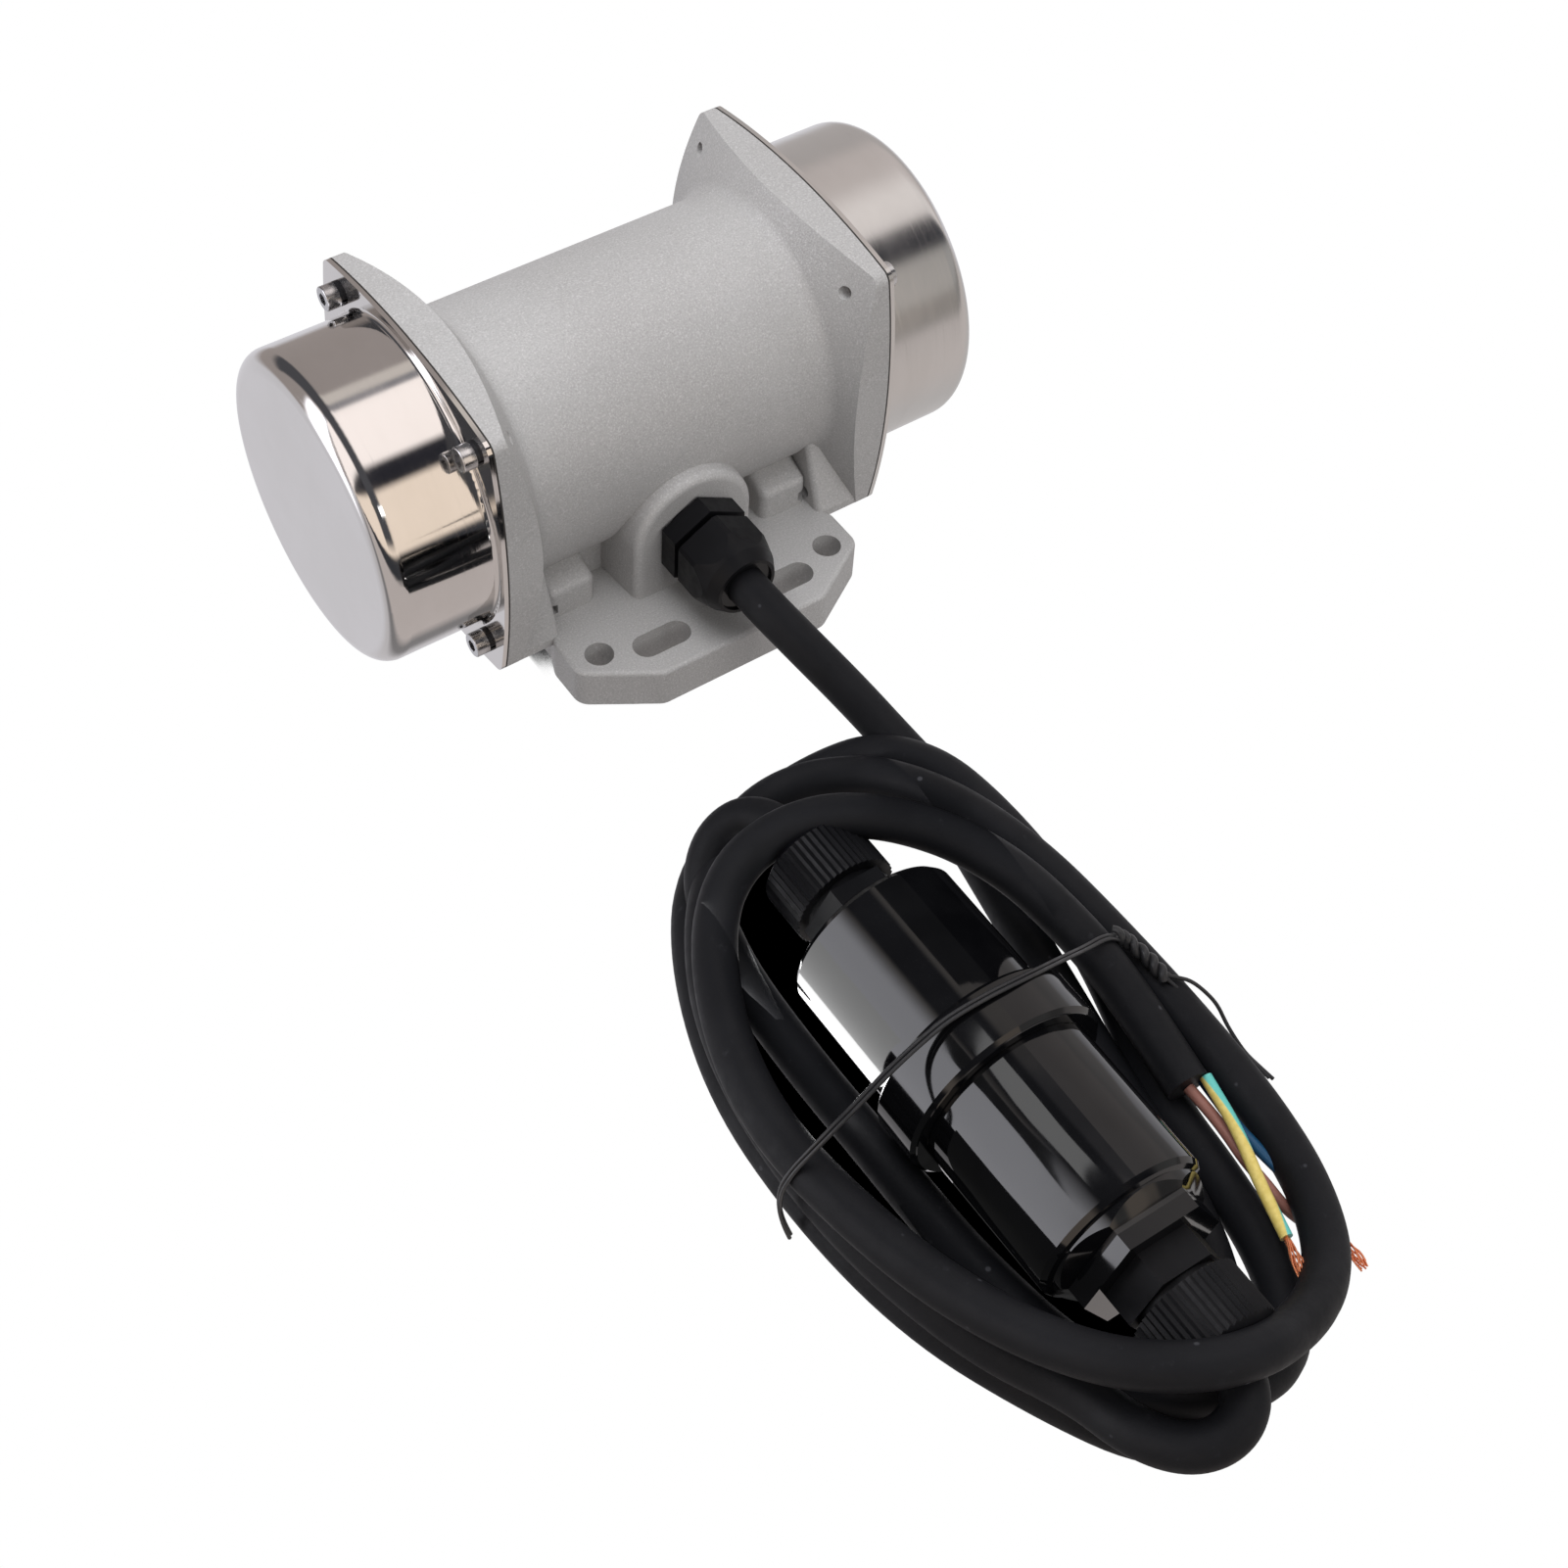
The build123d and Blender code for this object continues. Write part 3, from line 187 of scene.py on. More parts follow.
def polished_sheet():
    """Drawn stainless sheet: mirror-bright on the left, more brushed on the right."""
    s = Shader("stainless_sheet")
    brush = s.noise(30.0, 3.0, 0.65, s.stretch(60.0, 1.5, 1.5))
    smears = s.noise(60.0, 4.0, 0.6, s.stretch(1.0, 0.5, 0.5))
    brushed = s.span(s.parts(s.place)["X"], *BRIGHT_TO_BRUSHED_X)
    tone = s.mix(s.span(smears, 0.3, 0.7), (0.63, 0.615, 0.60), (0.67, 0.655, 0.645))
    worn = s.math("ADD", s.span(smears, 0.45, 0.75, 0.07, 0.13), s.span(brush, 0.5, 0.75, 0.0, 0.06))
    rough = s.math("ADD", worn, s.math("MULTIPLY", brushed, 0.12))
    s.set(Base_Color=tone, Metallic=1.0, Roughness=rough, Normal=s.bump(brush, 0.00003, 0.25))
    return s.material


def plain(name, colour, metallic, roughness, specular=0.5):
    """Even material with a slight drift of tone and a fine uneven gloss."""
    s = Shader(name)
    fine = s.noise(400.0, 3.0, 0.6)
    lighter = tuple(min(1.0, c * 1.24 + 0.004) for c in colour)
    tone = s.mix(s.span(s.noise(30.0), 0.35, 0.65), colour, lighter)
    rough = s.span(fine, 0.3, 0.7, roughness - 0.06, roughness + 0.08)
    s.set(Base_Color=tone, Metallic=metallic, Roughness=rough, Normal=s.bump(fine, 0.00004, 0.5))
    s.set(Specular_IOR_Level=specular)
    return s.material


def cable_sheath():
    """Matte black rubber with faint pale scuffs along it."""
    s = Shader("cord_rubber")
    broad = s.noise(45.0, 4.0)
    scuffs = s.noise(220.0, 4.0, 0.7)
    specks = s.cells(130.0)
    fine = s.noise(1500.0, 2.0)
    tone = s.mix(s.span(broad, 0.35, 0.7), (0.0066, 0.0067, 0.0078), (0.0095, 0.0096, 0.0110))
    tone = s.mix(s.span(scuffs, 0.62, 0.80, 0.0, 0.30), tone, (0.045, 0.045, 0.05))
    tone = s.mix(s.span(specks, 0.05, 0.09, 0.35, 0.0), tone, (0.09, 0.09, 0.10))
    rough = s.span(scuffs, 0.35, 0.75, 0.50, 0.62)
    s.set(Base_Color=tone, Roughness=rough, Normal=s.bump(fine, 0.00004, 0.5, s.bump(broad, 0.0002, 0.2)))
    s.set(Specular_IOR_Level=0.15)
    return s.material


# Where the lower shell's orange peel fades in and out along the box, in metres
PEEL_FROM_Y = (-0.2215, -0.2200)
PEEL_TO_Y = (-0.1832, -0.1828)


def glossy_moulding():
    """Glossy black moulding; the lower shell has the deeper orange peel."""
    s = Shader("box_plastic")
    waves = s.noise(120.0, 2.0)
    peel = s.noise(95.0, 1.0, 0.5, s.stretch(1.0, 0.25, 1.0))
    along = s.parts(s.place)["Y"]
    lower = s.math("MULTIPLY", s.span(along, *PEEL_TO_Y, 1.0, 0.0), s.span(along, *PEEL_FROM_Y))
    smooth = s.bump(waves, 0.00015, 0.10)
    s.set(
        Base_Color=s.mix(s.span(waves, 0.3, 0.7), (0.0022, 0.0022, 0.0026), (0.0035, 0.0035, 0.004)),
        Roughness=s.span(waves, 0.35, 0.65, 0.05, 0.09),
        Normal=s.bump(s.math("MULTIPLY", peel, lower), 0.0022, 0.35, smooth),
    )
    return s.material


# The yellow core's start, its way and the direction across it, in metres; its curve as the bow
# over its length, and how the green stripe's edge drifts across it
STRIPE_START = (0.0086, -0.1977, 0.0148)
STRIPE_ALONG = (-0.249, -0.968, 0.0)
STRIPE_ACROSS = (0.905, -0.233, 0.357)
STRIPE_REACH = 0.024
STRIPE_BOW = 6.1
STRIPE_DRIFT = 0.072
STRIPE_EDGE = (-0.0008, -0.0005)


def striped_core():
    """Yellow insulation with a green stripe that turns out of sight along the core."""
    s = Shader("core_yellow_green")
    start = s.vector_math("SUBTRACT", s.place, STRIPE_START)
    along = s.vector_math("DOT_PRODUCT", start, STRIPE_ALONG, "Value")
    across = s.vector_math("DOT_PRODUCT", start, STRIPE_ACROSS, "Value")
    bow = s.math("MULTIPLY", s.math("MULTIPLY", along, s.math("SUBTRACT", STRIPE_REACH, along)), STRIPE_BOW)
    edge = s.math("ADD", bow, s.math("MULTIPLY", along, STRIPE_DRIFT))
    green = s.span(s.math("SUBTRACT", across, edge), *STRIPE_EDGE)
    fine = s.noise(900.0, 2.0)
    yellow = s.mix(s.span(fine, 0.35, 0.65), (0.56, 0.43, 0.11), (0.62, 0.49, 0.15))
    tone = s.mix(green, yellow, (0.11, 0.44, 0.39))
    s.set(Base_Color=tone, Roughness=0.42, Normal=s.bump(fine, 0.00003, 0.4))
    return s.material


# Colour, metal, roughness and, where it differs, specular level
PLAIN_FINISHES = {
    "lamination": ((0.16, 0.165, 0.18), 0.8, 0.45),
    "winding": ((0.45, 0.16, 0.06), 0.7, 0.35),
    "machined_steel": ((0.52, 0.52, 0.53), 1.0, 0.25),
    "bearing_steel": ((0.60, 0.60, 0.61), 1.0, 0.15),
    "cage_brass": ((0.62, 0.45, 0.18), 1.0, 0.3),
    "weight_steel": ((0.35, 0.34, 0.33), 0.9, 0.4),
    "spring_steel": ((0.05, 0.05, 0.055), 0.8, 0.35),
    "gasket_rubber": ((0.02, 0.018, 0.016), 0.0, 0.6),
    "gland_plastic": ((0.003, 0.003, 0.0037), 0.0, 0.40, 0.14),
    "seal_rubber": ((0.003, 0.003, 0.0035), 0.0, 0.16, 0.2),
    "capacitor_film": ((0.45, 0.46, 0.47), 0.0, 0.35),
    "core_brown": ((0.23, 0.10, 0.078), 0.0, 0.4),
    "core_blue": ((0.006, 0.045, 0.10), 0.0, 0.4),
    "copper": ((0.90, 0.30, 0.14), 0.75, 0.3),
    "tie_plastic": ((0.012, 0.012, 0.013), 0.0, 0.4),
}
finishes = {name: plain(name, *look) for name, look in PLAIN_FINISHES.items()}
finishes["cast_aluminium"] = cast_metal()
finishes["stainless_sheet"] = polished_sheet()
finishes["box_plastic"] = glossy_moulding()
finishes["cord_rubber"] = cable_sheath()
finishes["core_yellow_green"] = striped_core()

slot_of = {piece["node"]: piece["material_slot"] for piece in frame["record"]["subparts"]}
for name, obj in nodes.items():
    obj.data.materials.clear()
    obj.data.materials.append(finishes[slot_of[name]])

# Cables, in millimetres
CURVE_STEPS = 8
CORD_R = 4.5
COIL_CENTRE = (-27.0, -176.0)
COIL_HALF = (41.0, 73.0)

# The free stretch, as the part's own route has it
CORD_ROUTE = [
    (0.0, -40.0, 24.6), (0.0, -58.0, 24.6), (3.0, -71.0, 20.5),
    (8.2, -83.0, 12.6), (11.6, -93.7, 6.7), (13.0, -105.0, 4.7),
]

# Turns of the coil round the box: angle in degrees, share of the oval's size, height
MOTOR_TURNS = [
    (36, 1.06, 4.6), (12, 0.72, 4.6), (-12, 0.62, 4.6), (-36, 0.665, 4.6), (-54, 0.75, 4.6),
    (-70, 0.84, 4.6), (-84, 0.95, 4.6), (-96, 1.03, 4.6), (-112, 1.05, 4.6), (-132, 0.97, 4.6),
    (-156, 0.97, 4.6), (-180, 0.975, 4.6), (-204, 1.03, 4.6), (-228, 1.06, 4.6), (-250, 1.12, 4.6),
    (-275, 1.145, 4.6), (-294, 1.27, 5.0), (-306, 1.36, 8.5), (-315, 1.31, 13.2), (-323, 1.22, 13.8),
    (-334, 1.15, 9.5), (-346, 1.05, 5.2), (-364, 0.86, 4.6), (-380, 0.785, 4.6), (-396, 0.87, 4.6),
    (-411, 0.985, 4.6), (-425, 1.04, 5.5), (-440, 1.03, 10.5), (-452, 1.0, 13.4), (-466, 0.95, 10.0),
    (-482, 0.82, 5.2), (-505, 0.64, 4.6), (-528, 0.555, 4.6), (-550, 0.555, 4.6), (-572, 0.66, 4.6),
    (-592, 0.90, 6.0),
]
UPPER_ENTRY = [
    (-46.5, -108.0, 10.0), (-40.5, -101.0, 15.0), (-33.0, -101.0, 19.5),
    (-29.0, -108.0, 21.7), (-28.7, -118.0, 21.9), (-28.7, -128.0, 21.9),
]
LOWER_EXIT = [
    (-28.7, -236.0, 21.9), (-28.7, -243.0, 21.9), (-29.0, -249.5, 21.8), (-32.5, -255.3, 21.0),
    (-38.8, -257.0, 19.6), (-45.0, -254.0, 18.0), (-49.5, -246.0, 16.2),
]
TAIL_TURNS = [
    (-127, 0.995, 14.0), (-146, 0.985, 13.0), (-170, 0.985, 13.0), (-192, 1.0, 13.0),
    (-212, 1.02, 13.0), (-232, 1.02, 13.0), (-250, 1.03, 13.0), (-267, 1.075, 13.2),
    (-284, 1.125, 13.2), (-298, 1.15, 14.0), (-305, 1.145, 15.5), (-315, 1.112, 17.5),
    (-324, 1.05, 19.5), (-334, 1.042, 17.5), (-344, 1.04, 14.5), (-360, 1.03, 13.0),
    (-374, 1.056, 12.5), (-384, 1.115, 11.0), (-395, 1.16, 10.5), (-407, 1.15, 12.0),
    (-420, 1.09, 16.5), (-436, 1.03, 23.0), (-452, 1.02, 30.0), (-466, 1.017, 31.0),
    (-482, 1.005, 28.0), (-498, 0.993, 25.5), (-514, 0.987, 23.0), (-530, 1.0, 22.0),
    (-546, 1.043, 21.0), (-560, 1.043, 21.0), (-575, 1.012, 21.2), (-591, 0.985, 22.5),
    (-606, 0.94, 24.5), (-620, 0.872, 28.0), (-634, 0.818, 30.5), (-648, 0.782, 31.2),
    (-662, 0.779, 30.0), (-676, 0.797, 28.0), (-690, 0.812, 25.5), (-703, 0.802, 22.8),
    (-713, 0.81, 20.0), (-726, 0.83, 15.0), (-740, 0.836, 13.2),
]

# Brown and blue cores, and the copper strands at each bare end, from where to where
CORE_R = 1.2
BROWN_ROUTE = [
    (5.4, -196.8, 12.6), (6.0, -202.4, 11.6), (5.9, -208.0, 11.0), (5.3, -213.0, 10.7),
    (5.3, -216.4, 10.3), (5.7, -219.6, 9.6), (6.3, -224.2, 7.8), (8.4, -228.0, 5.2),
    (11.4, -231.2, 3.4), (14.0, -233.8, 2.5),
]
BLUE_ROUTE = [
    (9.2, -196.4, 12.2), (8.7, -203.0, 11.8), (8.2, -208.0, 11.5), (8.7, -214.0, 11.0),
    (9.8, -221.0, 10.0),
]
COPPER_ENDS = [
    ((-0.4, -231.4, 13.2), (-4.4, -240.2, 15.8)),
    ((13.9, -233.4, 2.5), (13.6, -241.4, 2.1)),
    ((9.8, -220.8, 10.0), (10.6, -226.0, 8.6)),
]
COPPER_STRANDS = 11
STRAND_R = 0.17

# How far a copper strand stands off at each step along the bare end, and how far it has turned
FRAY = [(0.45, 0.0), (0.75, 0.5), (1.25, 1.0), (1.35, 1.5), (0.9, 2.1)]

# The twist tie: its doubled stretch, its twisted lumps and its two loose ends
TIE_R = 0.40
TIE_APART = 0.42
TIE_ROUTE = [
    (-72.7, -177.0, 2.5), (-74.1, -175.5, 8.0), (-74.9, -175.2, 18.0), (-72.8, -175.7, 24.5),
    (-69.2, -176.7, 30.5), (-64.6, -176.6, 34.0), (-59.4, -175.9, 36.0), (-50.0, -174.4, 39.5),
    (-40.0, -173.7, 43.0), (-34.9, -174.0, 44.3), (-29.6, -174.3, 44.9), (-23.9, -174.3, 44.2),
    (-16.9, -173.2, 41.0), (-8.3, -170.8, 35.0), (0.8, -168.3, 28.5), (5.5, -167.4, 26.6),
    (8.9, -167.2, 24.5), (12.2, -167.9, 21.0),
]
KNOT_ROUTE = [(9.6, -166.4, 24.0), (12.2, -167.9, 21.4), (14.0, -172.9, 19.6), (14.5, -177.8, 18.6)]
KNOT_STEPS = 24
KNOT_TURNS = 3.0
KNOT_R = 0.85
OUTER_END = [
    (14.0, -176.4, 18.9), (17.0, -178.7, 18.0), (19.4, -179.8, 16.5), (21.6, -181.7, 14.0),
    (23.5, -184.7, 11.0), (23.7, -188.0, 8.0), (24.0, -191.2, 6.0), (24.4, -194.1, 4.5),
    (25.5, -196.7, 3.0), (26.8, -200.4, 1.5),
]
INNER_END = [
    (14.2, -177.0, 18.9), (16.3, -180.8, 16.5), (17.6, -184.0, 14.0), (20.3, -187.8, 10.0),
    (22.6, -190.8, 7.0), (24.2, -194.3, 4.6), (25.2, -197.0, 3.0), (26.2, -199.8, 1.7),
]


def turns(stations):
    """Points of the coil's turns, in millimetres."""
    points = []
    for angle, share, height in stations:
        a = radians(angle)
        x = COIL_CENTRE[0] + COIL_HALF[0] * share * cos(a)
        y = COIL_CENTRE[1] + COIL_HALF[1] * share * sin(a)
        points.append((x, y, height))
    return points


def curve_piece(name, strands, radius, finish):
    """Round strands along NURBS splines, in millimetres, as one piece on the motor's body."""
    data = bpy.data.curves.new(name, "CURVE")
    data.dimensions = "3D"
    for points in strands:
        spline = data.splines.new("NURBS")
        spline.points.add(len(points) - 1)
        for made, point in zip(spline.points, points):
            made.co = (point[0] * MM, point[1] * MM, point[2] * MM, 1.0)
            made.radius = radius * MM
        spline.order_u = 3
        spline.use_endpoint_u = True
        spline.resolution_u = CURVE_STEPS
    data.bevel_depth = 1.0
    data.bevel_resolution = CURVE_STEPS
    data.use_fill_caps = True
    data.materials.append(finishes[finish])
    obj = bpy.data.objects.new(name, data)
    scene.collection.objects.link(obj)
    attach(obj, "motor_body")
    return obj


def offset_route(points, apart):
    """The route moved sideways, level with the floor."""
    moved = []
    for i, point in enumerate(points):
        before, after = points[max(i - 1, 0)], points[min(i + 1, len(points) - 1)]
        side = (Vector(after) - Vector(before)).cross(UP).normalized()
        moved.append(tuple(Vector(point) + side * apart))
    return moved


def wound_route(points, steps, rounds, radius, phase):
    """A helix about the route."""
    spine = [Vector(p) for p in points]
    wound = []
    for i in range(steps + 1):
        at = i / steps * (len(spine) - 1)
        first = min(int(at), len(spine) - 2)
        centre = spine[first].lerp(spine[first + 1], at - first)
        way = (spine[first + 1] - spine[first]).normalized()
        side = way.cross(UP).normalized()
        a = phase + 2 * pi * rounds * i / steps
        wound.append(tuple(centre + (side * cos(a) + way.cross(side) * sin(a)) * radius))
    return wound


def frayed_end(start, end, count):
    """Copper strands that leave the core together, swell out and close in again."""
    start, end = Vector(start), Vector(end)
    way = (end - start).normalized()
    side = way.cross(UP).normalized()
    rise = way.cross(side)
    strands = []
    for i in range(count):
        shorter = 0.14 * (i * 5 % 4) / 3
        wider = 0.55 + 0.45 * (i * 3 % 5) / 4
        points = []
        for step, (swell, twist) in enumerate(FRAY):
            a = 2 * pi * i / count + twist
            place = start.lerp(end, step / (len(FRAY) - 1) * (1.0 - shorter))
            points.append(tuple(place + (side * cos(a) + rise * sin(a)) * swell * wider))
        strands.append(points)
    return strands


motor_cord = curve_piece(
    "motor_cord", [CORD_ROUTE + turns(MOTOR_TURNS) + UPPER_ENTRY], CORD_R, "cord_rubber"
)
tail_cord = curve_piece("tail_cord", [LOWER_EXIT + turns(TAIL_TURNS)], CORD_R, "cord_rubber")
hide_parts("cord_motor", "cord_coil_motor")
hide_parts("cord_coil_tail", "cord_stubs")

brown_core = curve_piece("brown_core", [BROWN_ROUTE], CORE_R, "core_brown")
blue_core = curve_piece("blue_core", [BLUE_ROUTE], CORE_R, "core_blue")
copper = [strand for start, end in COPPER_ENDS for strand in frayed_end(start, end, COPPER_STRANDS)]
bare_copper = curve_piece("bare_copper", copper, STRAND_R, "copper")
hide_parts("core_brown")
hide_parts("core_blue")
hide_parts("core_copper")

tie_route = offset_route(TIE_ROUTE, -TIE_APART) + KNOT_ROUTE[2:] + OUTER_END
twist_tie = curve_piece("tie_main", [tie_route], TIE_R, "tie_plastic")
tie_twin = curve_piece("tie_twin", [offset_route(TIE_ROUTE, TIE_APART)], TIE_R, "tie_plastic")
knot = [wound_route(KNOT_ROUTE, KNOT_STEPS, KNOT_TURNS, KNOT_R, phase) for phase in (0.0, pi)]
tie_knot = curve_piece("tie_knot", knot, KNOT_R, "tie_plastic")
tie_ends = curve_piece("tie_ends", [INNER_END], TIE_R, "tie_plastic")
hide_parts("twist_tie")

# The floor, in metres: how near and how much the sky has to be hidden for painted shade to darken it
FLOOR_SIZE = 6.0
FLOOR_Z = -0.0002
SKY_REACH = 0.012
SKY_SEEN = (0.16, 0.32)
SHADE_LEAST = 0.01

# The foot's footprint, in millimetres, where the floor gets painted shade; and the painted shadow, a dark
# oval left of the box, by its middle, in millimetres, and by shares of the coil's half size
FOOT_SHADE = (38.0, 51.0)
FOOT_SHADE_EDGE = 1.0
SHADOW_CENTRE = (-26.0, -172.0)
SHADOW_RIM = (0.97, 1.03)
SHADOW_SIDE = (0.15, 0.25)


def bare_sheet(name, corners, hidden_from):
    """Four-cornered sheet with an empty material, unseen by some kinds of ray."""
    mesh = bpy.data.meshes.new(name)
    mesh.from_pydata(corners, [], [(0, 1, 2, 3)])
    obj = bpy.data.objects.new(name, mesh)
    for ray in hidden_from:
        setattr(obj, f"visible_{ray}", False)
    scene.collection.objects.link(obj)
    material = bpy.data.materials.new(name)
    tree = Tree(material)
    tree.tree.nodes.clear()
    mesh.materials.append(material)
    return obj, tree


def lit_floor():
    """Glowing white floor, with painted shade only in the foot's holes and a painted shadow left of the
    box.
    """
    h = FLOOR_SIZE / 2
    corners = [(-h, -h, 0), (h, -h, 0), (h, h, 0), (-h, h, 0)]
    obj, t = bare_sheet("floor", corners, ("glossy", "diffuse"))
    obj.location = (0.0, 0.0, FLOOR_Z)
    sky = t.node("ShaderNodeAmbientOcclusion", WHITE, SKY_REACH).outputs["AO"]
    painted_hole_shade = t.span(sky, *SKY_SEEN, SHADE_LEAST, 1.0)
    place = t.node("ShaderNodeTexCoord").outputs["Object"]
    from_foot = t.parts(t.vector_math("ABSOLUTE", place))
    for away, half in zip(from_foot, FOOT_SHADE):
        painted_hole_shade = t.math("MAXIMUM", painted_hole_shade, t.straight(away, half * MM, (half + FOOT_SHADE_EDGE) * MM))
    # Painted shadow: the floor goes dark inside this oval left of the box
    oval = t.node("ShaderNodeMapping", place, vector_type="TEXTURE")
    oval.inputs["Location"].default_value = (SHADOW_CENTRE[0] * MM, SHADOW_CENTRE[1] * MM, 0.0)
    oval.inputs["Scale"].default_value = (COIL_HALF[0] * MM, COIL_HALF[1] * MM, 1.0)
    from_coil = oval.outputs["Vector"]
    rim = t.straight(t.vector_math("LENGTH", from_coil, output="Value"), *SHADOW_RIM)
    side = t.straight(t.parts(from_coil)["X"], *SHADOW_SIDE)
    t.glow(t.math("MULTIPLY", t.math("MAXIMUM", rim, side), painted_hole_shade))
    return obj


lit_floor()

# The studio as each cap mirrors it: the angle round the shaft's axis where a zone ends, in degrees
# from the horizon behind the motor over its top, how soft that edge is, and the zone's colour
STUDIO_LEFT = [
    (-178.0, 5.0, (1.18, 1.00, 0.84)),
    (-158.0, 6.0, (0.050, 0.052, 0.060)),
    (-98.0, 12.0, (0.64, 0.58, 0.56)),
    (-78.0, 12.0, (0.27, 0.26, 0.265)),
    (-60.0, 12.0, (0.66, 0.64, 0.66)),
    (-17.0, 10.0, (0.76, 0.75, 0.79)),
    (60.0, 3.0, (0.40, 0.355, 0.34)),
    (69.0, 2.0, (0.76, 0.70, 0.65)),
    (75.0, 2.0, (0.30, 0.29, 0.31)),
    (119.0, 5.0, (1.42, 1.30, 1.25)),
    (136.0, 5.0, (0.028, 0.028, 0.036)),
    (180.0, 5.0, (1.18, 1.00, 0.84)),
]
STUDIO_RIGHT = [
    (-172.0, 8.0, (0.31, 0.295, 0.285)),
    (-115.0, 30.0, (0.68, 0.63, 0.61)),
    (-60.0, 20.0, (0.61, 0.59, 0.585)),
    (-17.0, 14.0, (0.80, 0.79, 0.83)),
    (35.0, 14.0, (0.54, 0.51, 0.50)),
    (76.0, 20.0, (0.70, 0.64, 0.62)),
    (111.0, 6.0, (0.94, 0.89, 0.87)),
    (135.0, 5.0, (0.030, 0.032, 0.042)),
    (168.0, 6.0, (0.455, 0.445, 0.435)),
    (180.0, 4.0, (0.30, 0.285, 0.275)),
]
SOFTBOX = (3.7, 3.7, 3.95)
UNLIT = (0.09, 0.09, 0.10)
AMBIENT = (0.45, 0.45, 0.46)

# Edges in the studio, by the parts of a reflection's direction, each from nothing to full
RIGHT_FROM_X = (0.36, 0.44)
CEILING_Z = (0.0, 0.2)
CEILING_X = ((0.16, 0.04), (-0.50, -0.40))
SOFTBOX_X = (-0.44, -0.72)
SOFTBOX_Y = ((0.18, 0.30), (0.62, 0.50))
SOFTBOX_Z = (-0.50, -0.15)


def within(t, *edges):
    """Product of eased steps, each a part of the direction with its two edges."""
    share = t.span(*edges[0])
    for edge in edges[1:]:
        share = t.math("MULTIPLY", share, t.span(*edge))
    return share


def zones(t, angle, studio):
    """Colour by the angle round the shaft's axis, as a share of the full circle."""
    ramp = t.node("ShaderNodeValToRGB", angle)
    stops = ramp.color_ramp.elements
    stops[0].color = (*studio[0][2], 1.0)
    stops[1].color = (*studio[-1][2], 1.0)
    for (edge, soft, colour), (_, _, following) in zip(studio, studio[1:]):
        for place, tint in ((edge - soft / 2, colour), (edge + soft / 2, following)):
            stops.new((place + 180.0) / 360.0).color = (*tint, 1.0)
    return ramp.outputs["Color"]


def studio_world():
    """World that is white to the camera, zoned to reflections and plain to diffuse light."""
    scene.world = bpy.data.worlds.new("world")
    t = Tree(scene.world)
    t.tree.nodes.clear()
    x, y, z = t.parts(t.node("ShaderNodeTexCoord").outputs["Generated"])
    angle = t.straight(t.math("ARCTAN2", z, y), -pi, pi)
    studio = t.mix(t.span(x, *RIGHT_FROM_X), zones(t, angle, STUDIO_LEFT), zones(t, angle, STUDIO_RIGHT))
    ceiling = within(t, (z, *CEILING_Z), (x, *CEILING_X[0]), (x, *CEILING_X[1]))
    studio = t.mix(ceiling, studio, UNLIT)
    softbox = within(t, (x, *SOFTBOX_X), (z, *SOFTBOX_Z), (y, *SOFTBOX_Y[0]), (y, *SOFTBOX_Y[1]))
    studio = t.mix(softbox, studio, SOFTBOX)
    ray = t.node("ShaderNodeLightPath")
    mirrored = t.node("ShaderNodeBackground", studio).outputs[0]
    around = t.node("ShaderNodeBackground", AMBIENT).outputs[0]
    seen = t.node("ShaderNodeBackground", WHITE).outputs[0]
    lit = t.node("ShaderNodeMixShader", ray.outputs["Is Glossy Ray"], around, mirrored).outputs[0]
    final = t.node("ShaderNodeMixShader", ray.outputs["Is Camera Ray"], lit, seen).outputs[0]
    t.node("ShaderNodeOutputWorld", final)


studio_world()

# Cards that only reflections see, in millimetres, which paint reflections on the upper shell: the white
# reflected strip along its lower left, and the grey reflected band above it
STRIP_X = (-54.2, -45.5)
STRIP_Y = (-118.0, -163.5)
STRIP_FOOT = 9.6
STRIP_TOP = 15.6
STRIP_GLOW = 9.0
BAND_TOP = 34.5
BAND_GLOW = 3.6

# Dark cards that paint shade into the reflections on the sides of both shells, and cards that paint the
# light streak and the dark line reflected along the lower shell
DARK_GLOW = 0.05
DARK_WALL_X = (-53.4, -34.0)
DARK_WALL_Y = (-184.5, -226.0)
DARK_WALL_Z = (2.0, 29.4)
DARK_FLOOR_Z = 1.5
DARK_ABOVE_X = (-26.0, 1.0)
DARK_ABOVE_Y = (-98.0, -158.0)
DARK_ABOVE_Z = (9.8, 62.0)
FAR_Z = 140.0
STREAK_X = (-84.0, -40.0)
STREAK_Y = (-139.0, -178.0)
STREAK_GLOW = 2.4
LINE_X = (-142.0, -98.0)
LINE_Y = (-122.0, -168.0)
LINE_GLOW = 0.1


def glossy_card(name, corners, strength):
    """Small card that glows on its front and that only reflections see, painting a light or dark reflection
    onto the motor.
    """
    hidden_from = ("camera", "diffuse", "transmission", "volume_scatter", "shadow")
    corners = [tuple(c * MM for c in corner) for corner in corners]
    obj, t = bare_sheet(name, corners, hidden_from)
    back = t.node("ShaderNodeNewGeometry").outputs["Backfacing"]
    t.glow(t.straight(back, 0.0, 1.0, strength, 0.0))
    return obj


def upright(x, ys, foot, top):
    return [(x, ys[0], foot), (x, ys[0], top), (x, ys[1], top), (x, ys[1], foot)]


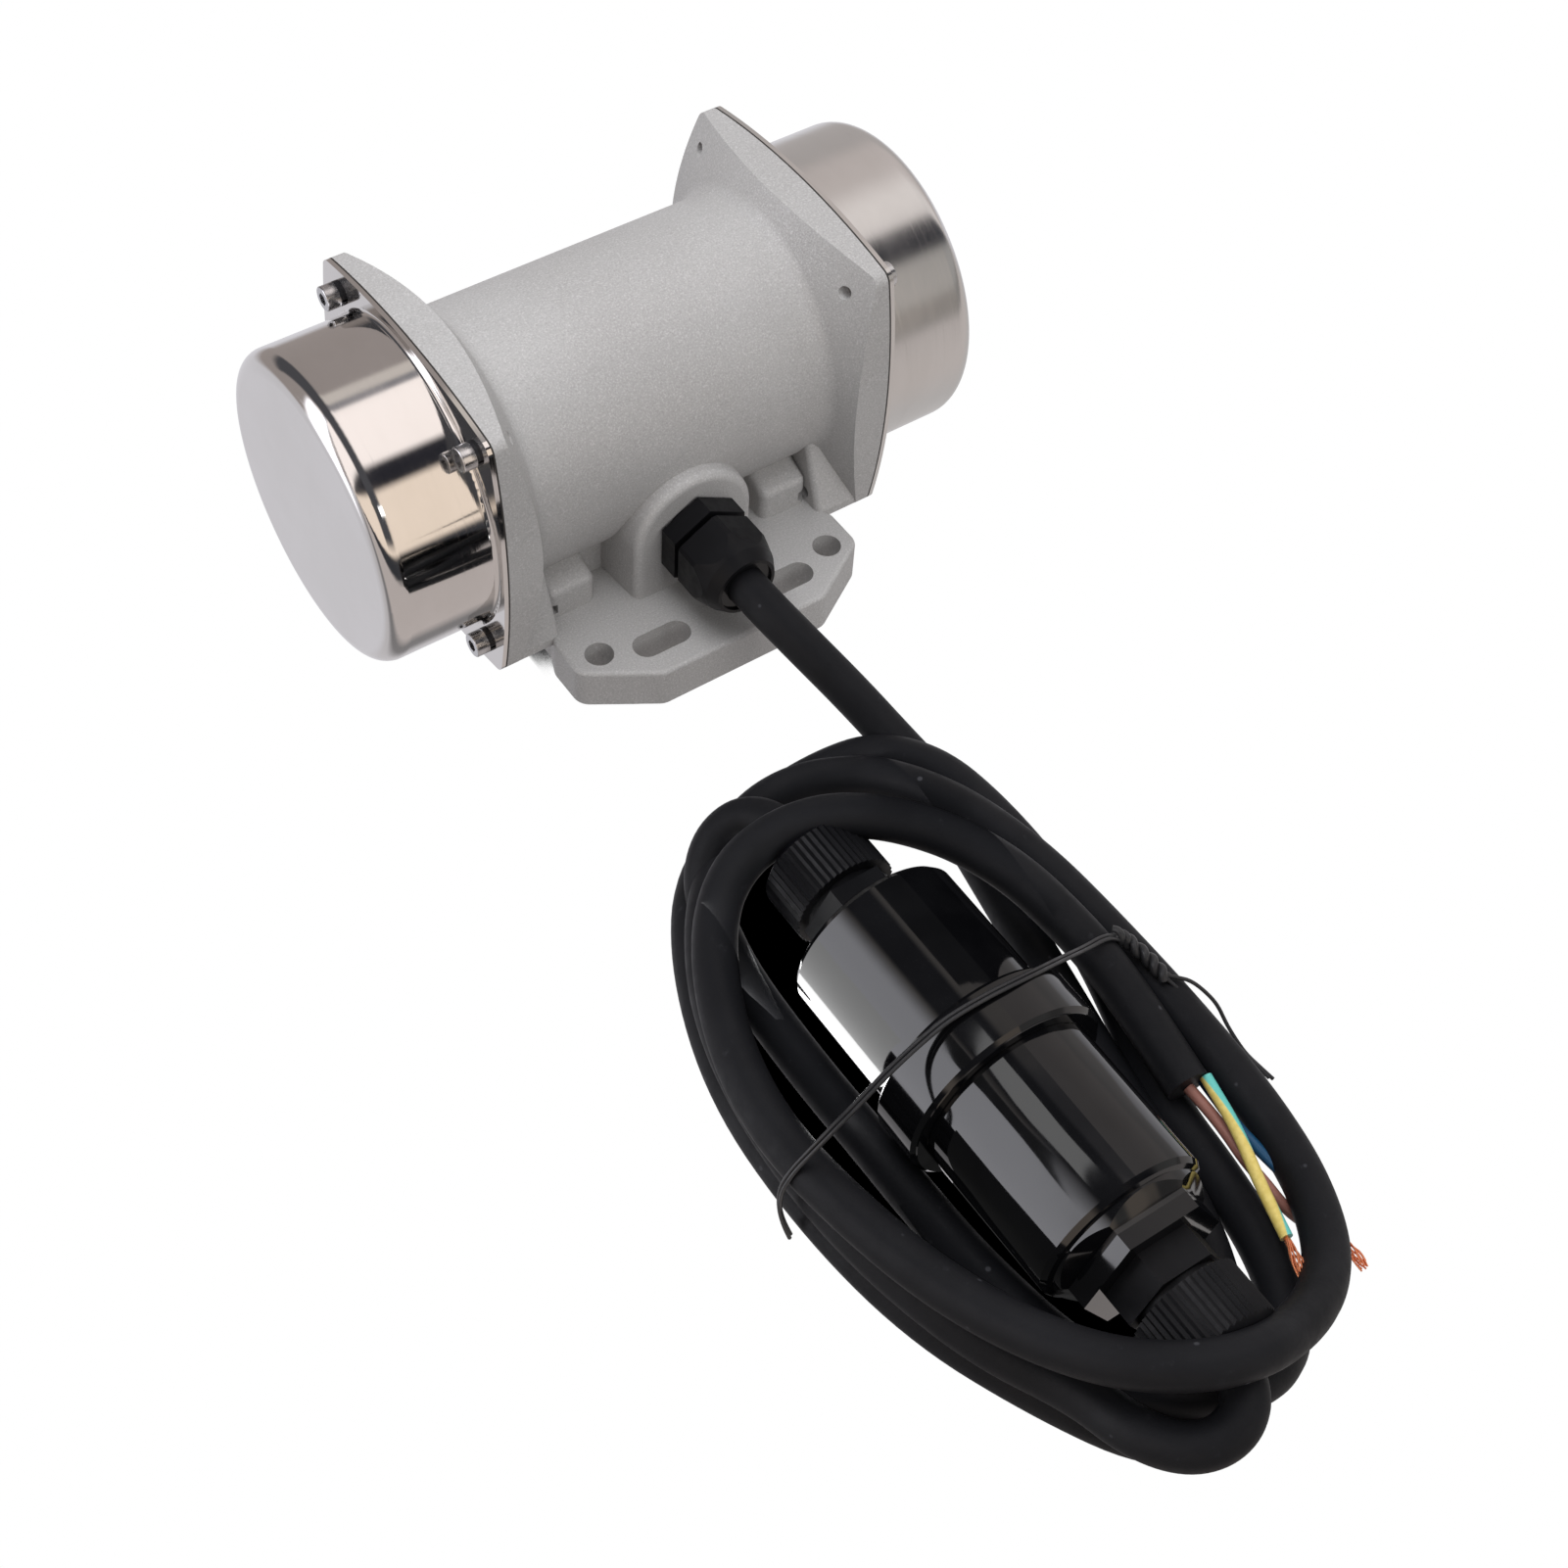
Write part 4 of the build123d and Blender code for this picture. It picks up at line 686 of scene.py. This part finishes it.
def facing_down(xs, ys, z):
    return [(xs[0], ys[0], z), (xs[1], ys[0], z), (xs[1], ys[1], z), (xs[0], ys[1], z)]


def facing_up(xs, ys, z):
    return [(xs[0], ys[0], z), (xs[0], ys[1], z), (xs[1], ys[1], z), (xs[1], ys[0], z)]


# Painted reflections and painted shade: cards set close by the motor that only its reflections show
CARDS = [
    ("strip_wall", upright(STRIP_X[0], STRIP_Y, STRIP_FOOT, STRIP_TOP), STRIP_GLOW),
    ("strip_floor", facing_up(STRIP_X, STRIP_Y, STRIP_FOOT), STRIP_GLOW),
    ("band_wall", upright(STRIP_X[0], STRIP_Y, STRIP_TOP, BAND_TOP), BAND_GLOW),
    ("dark_wall", upright(DARK_WALL_X[0], DARK_WALL_Y, *DARK_WALL_Z), DARK_GLOW),
    ("dark_floor", facing_up(DARK_WALL_X, DARK_WALL_Y, DARK_FLOOR_Z), DARK_GLOW),
    ("dark_above", facing_down(DARK_ABOVE_X, DARK_ABOVE_Y, DARK_ABOVE_Z[1]), DARK_GLOW),
    ("dark_side", upright(DARK_ABOVE_X[1], DARK_ABOVE_Y, *DARK_ABOVE_Z), DARK_GLOW),
    ("streak_above", facing_down(STREAK_X, STREAK_Y, FAR_Z), STREAK_GLOW),
    ("line_above", facing_down(LINE_X, LINE_Y, FAR_Z), LINE_GLOW),
]
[glossy_card(*card) for card in CARDS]

# Lamps, in metres and watts
LAMP_AIM = Vector((0.0, -0.08, 0.02))
LAMP_SIZE = 0.5
COOL = (0.94, 0.96, 1.0)


def lamp(name, place, power, colour):
    """Square soft light that faces the motor and isn't mirrored."""
    data = bpy.data.lights.new(name, "AREA")
    data.shape = "SQUARE"
    data.size = LAMP_SIZE
    data.energy = power
    data.color = colour
    obj = bpy.data.objects.new(name, data)
    obj.location = place
    obj.rotation_euler = (LAMP_AIM - Vector(place)).to_track_quat("-Z", "Y").to_euler()
    obj.visible_glossy = False
    scene.collection.objects.link(obj)


lamp("back_key", (-0.15, 0.40, 0.80), 4.2, COOL)
lamp("top_key", (-0.10, -0.10, 0.92), 3.8, COOL)
lamp("fill", (0.15, -0.80, 0.50), 2.4, WHITE)

bpy.context.view_layer.update()
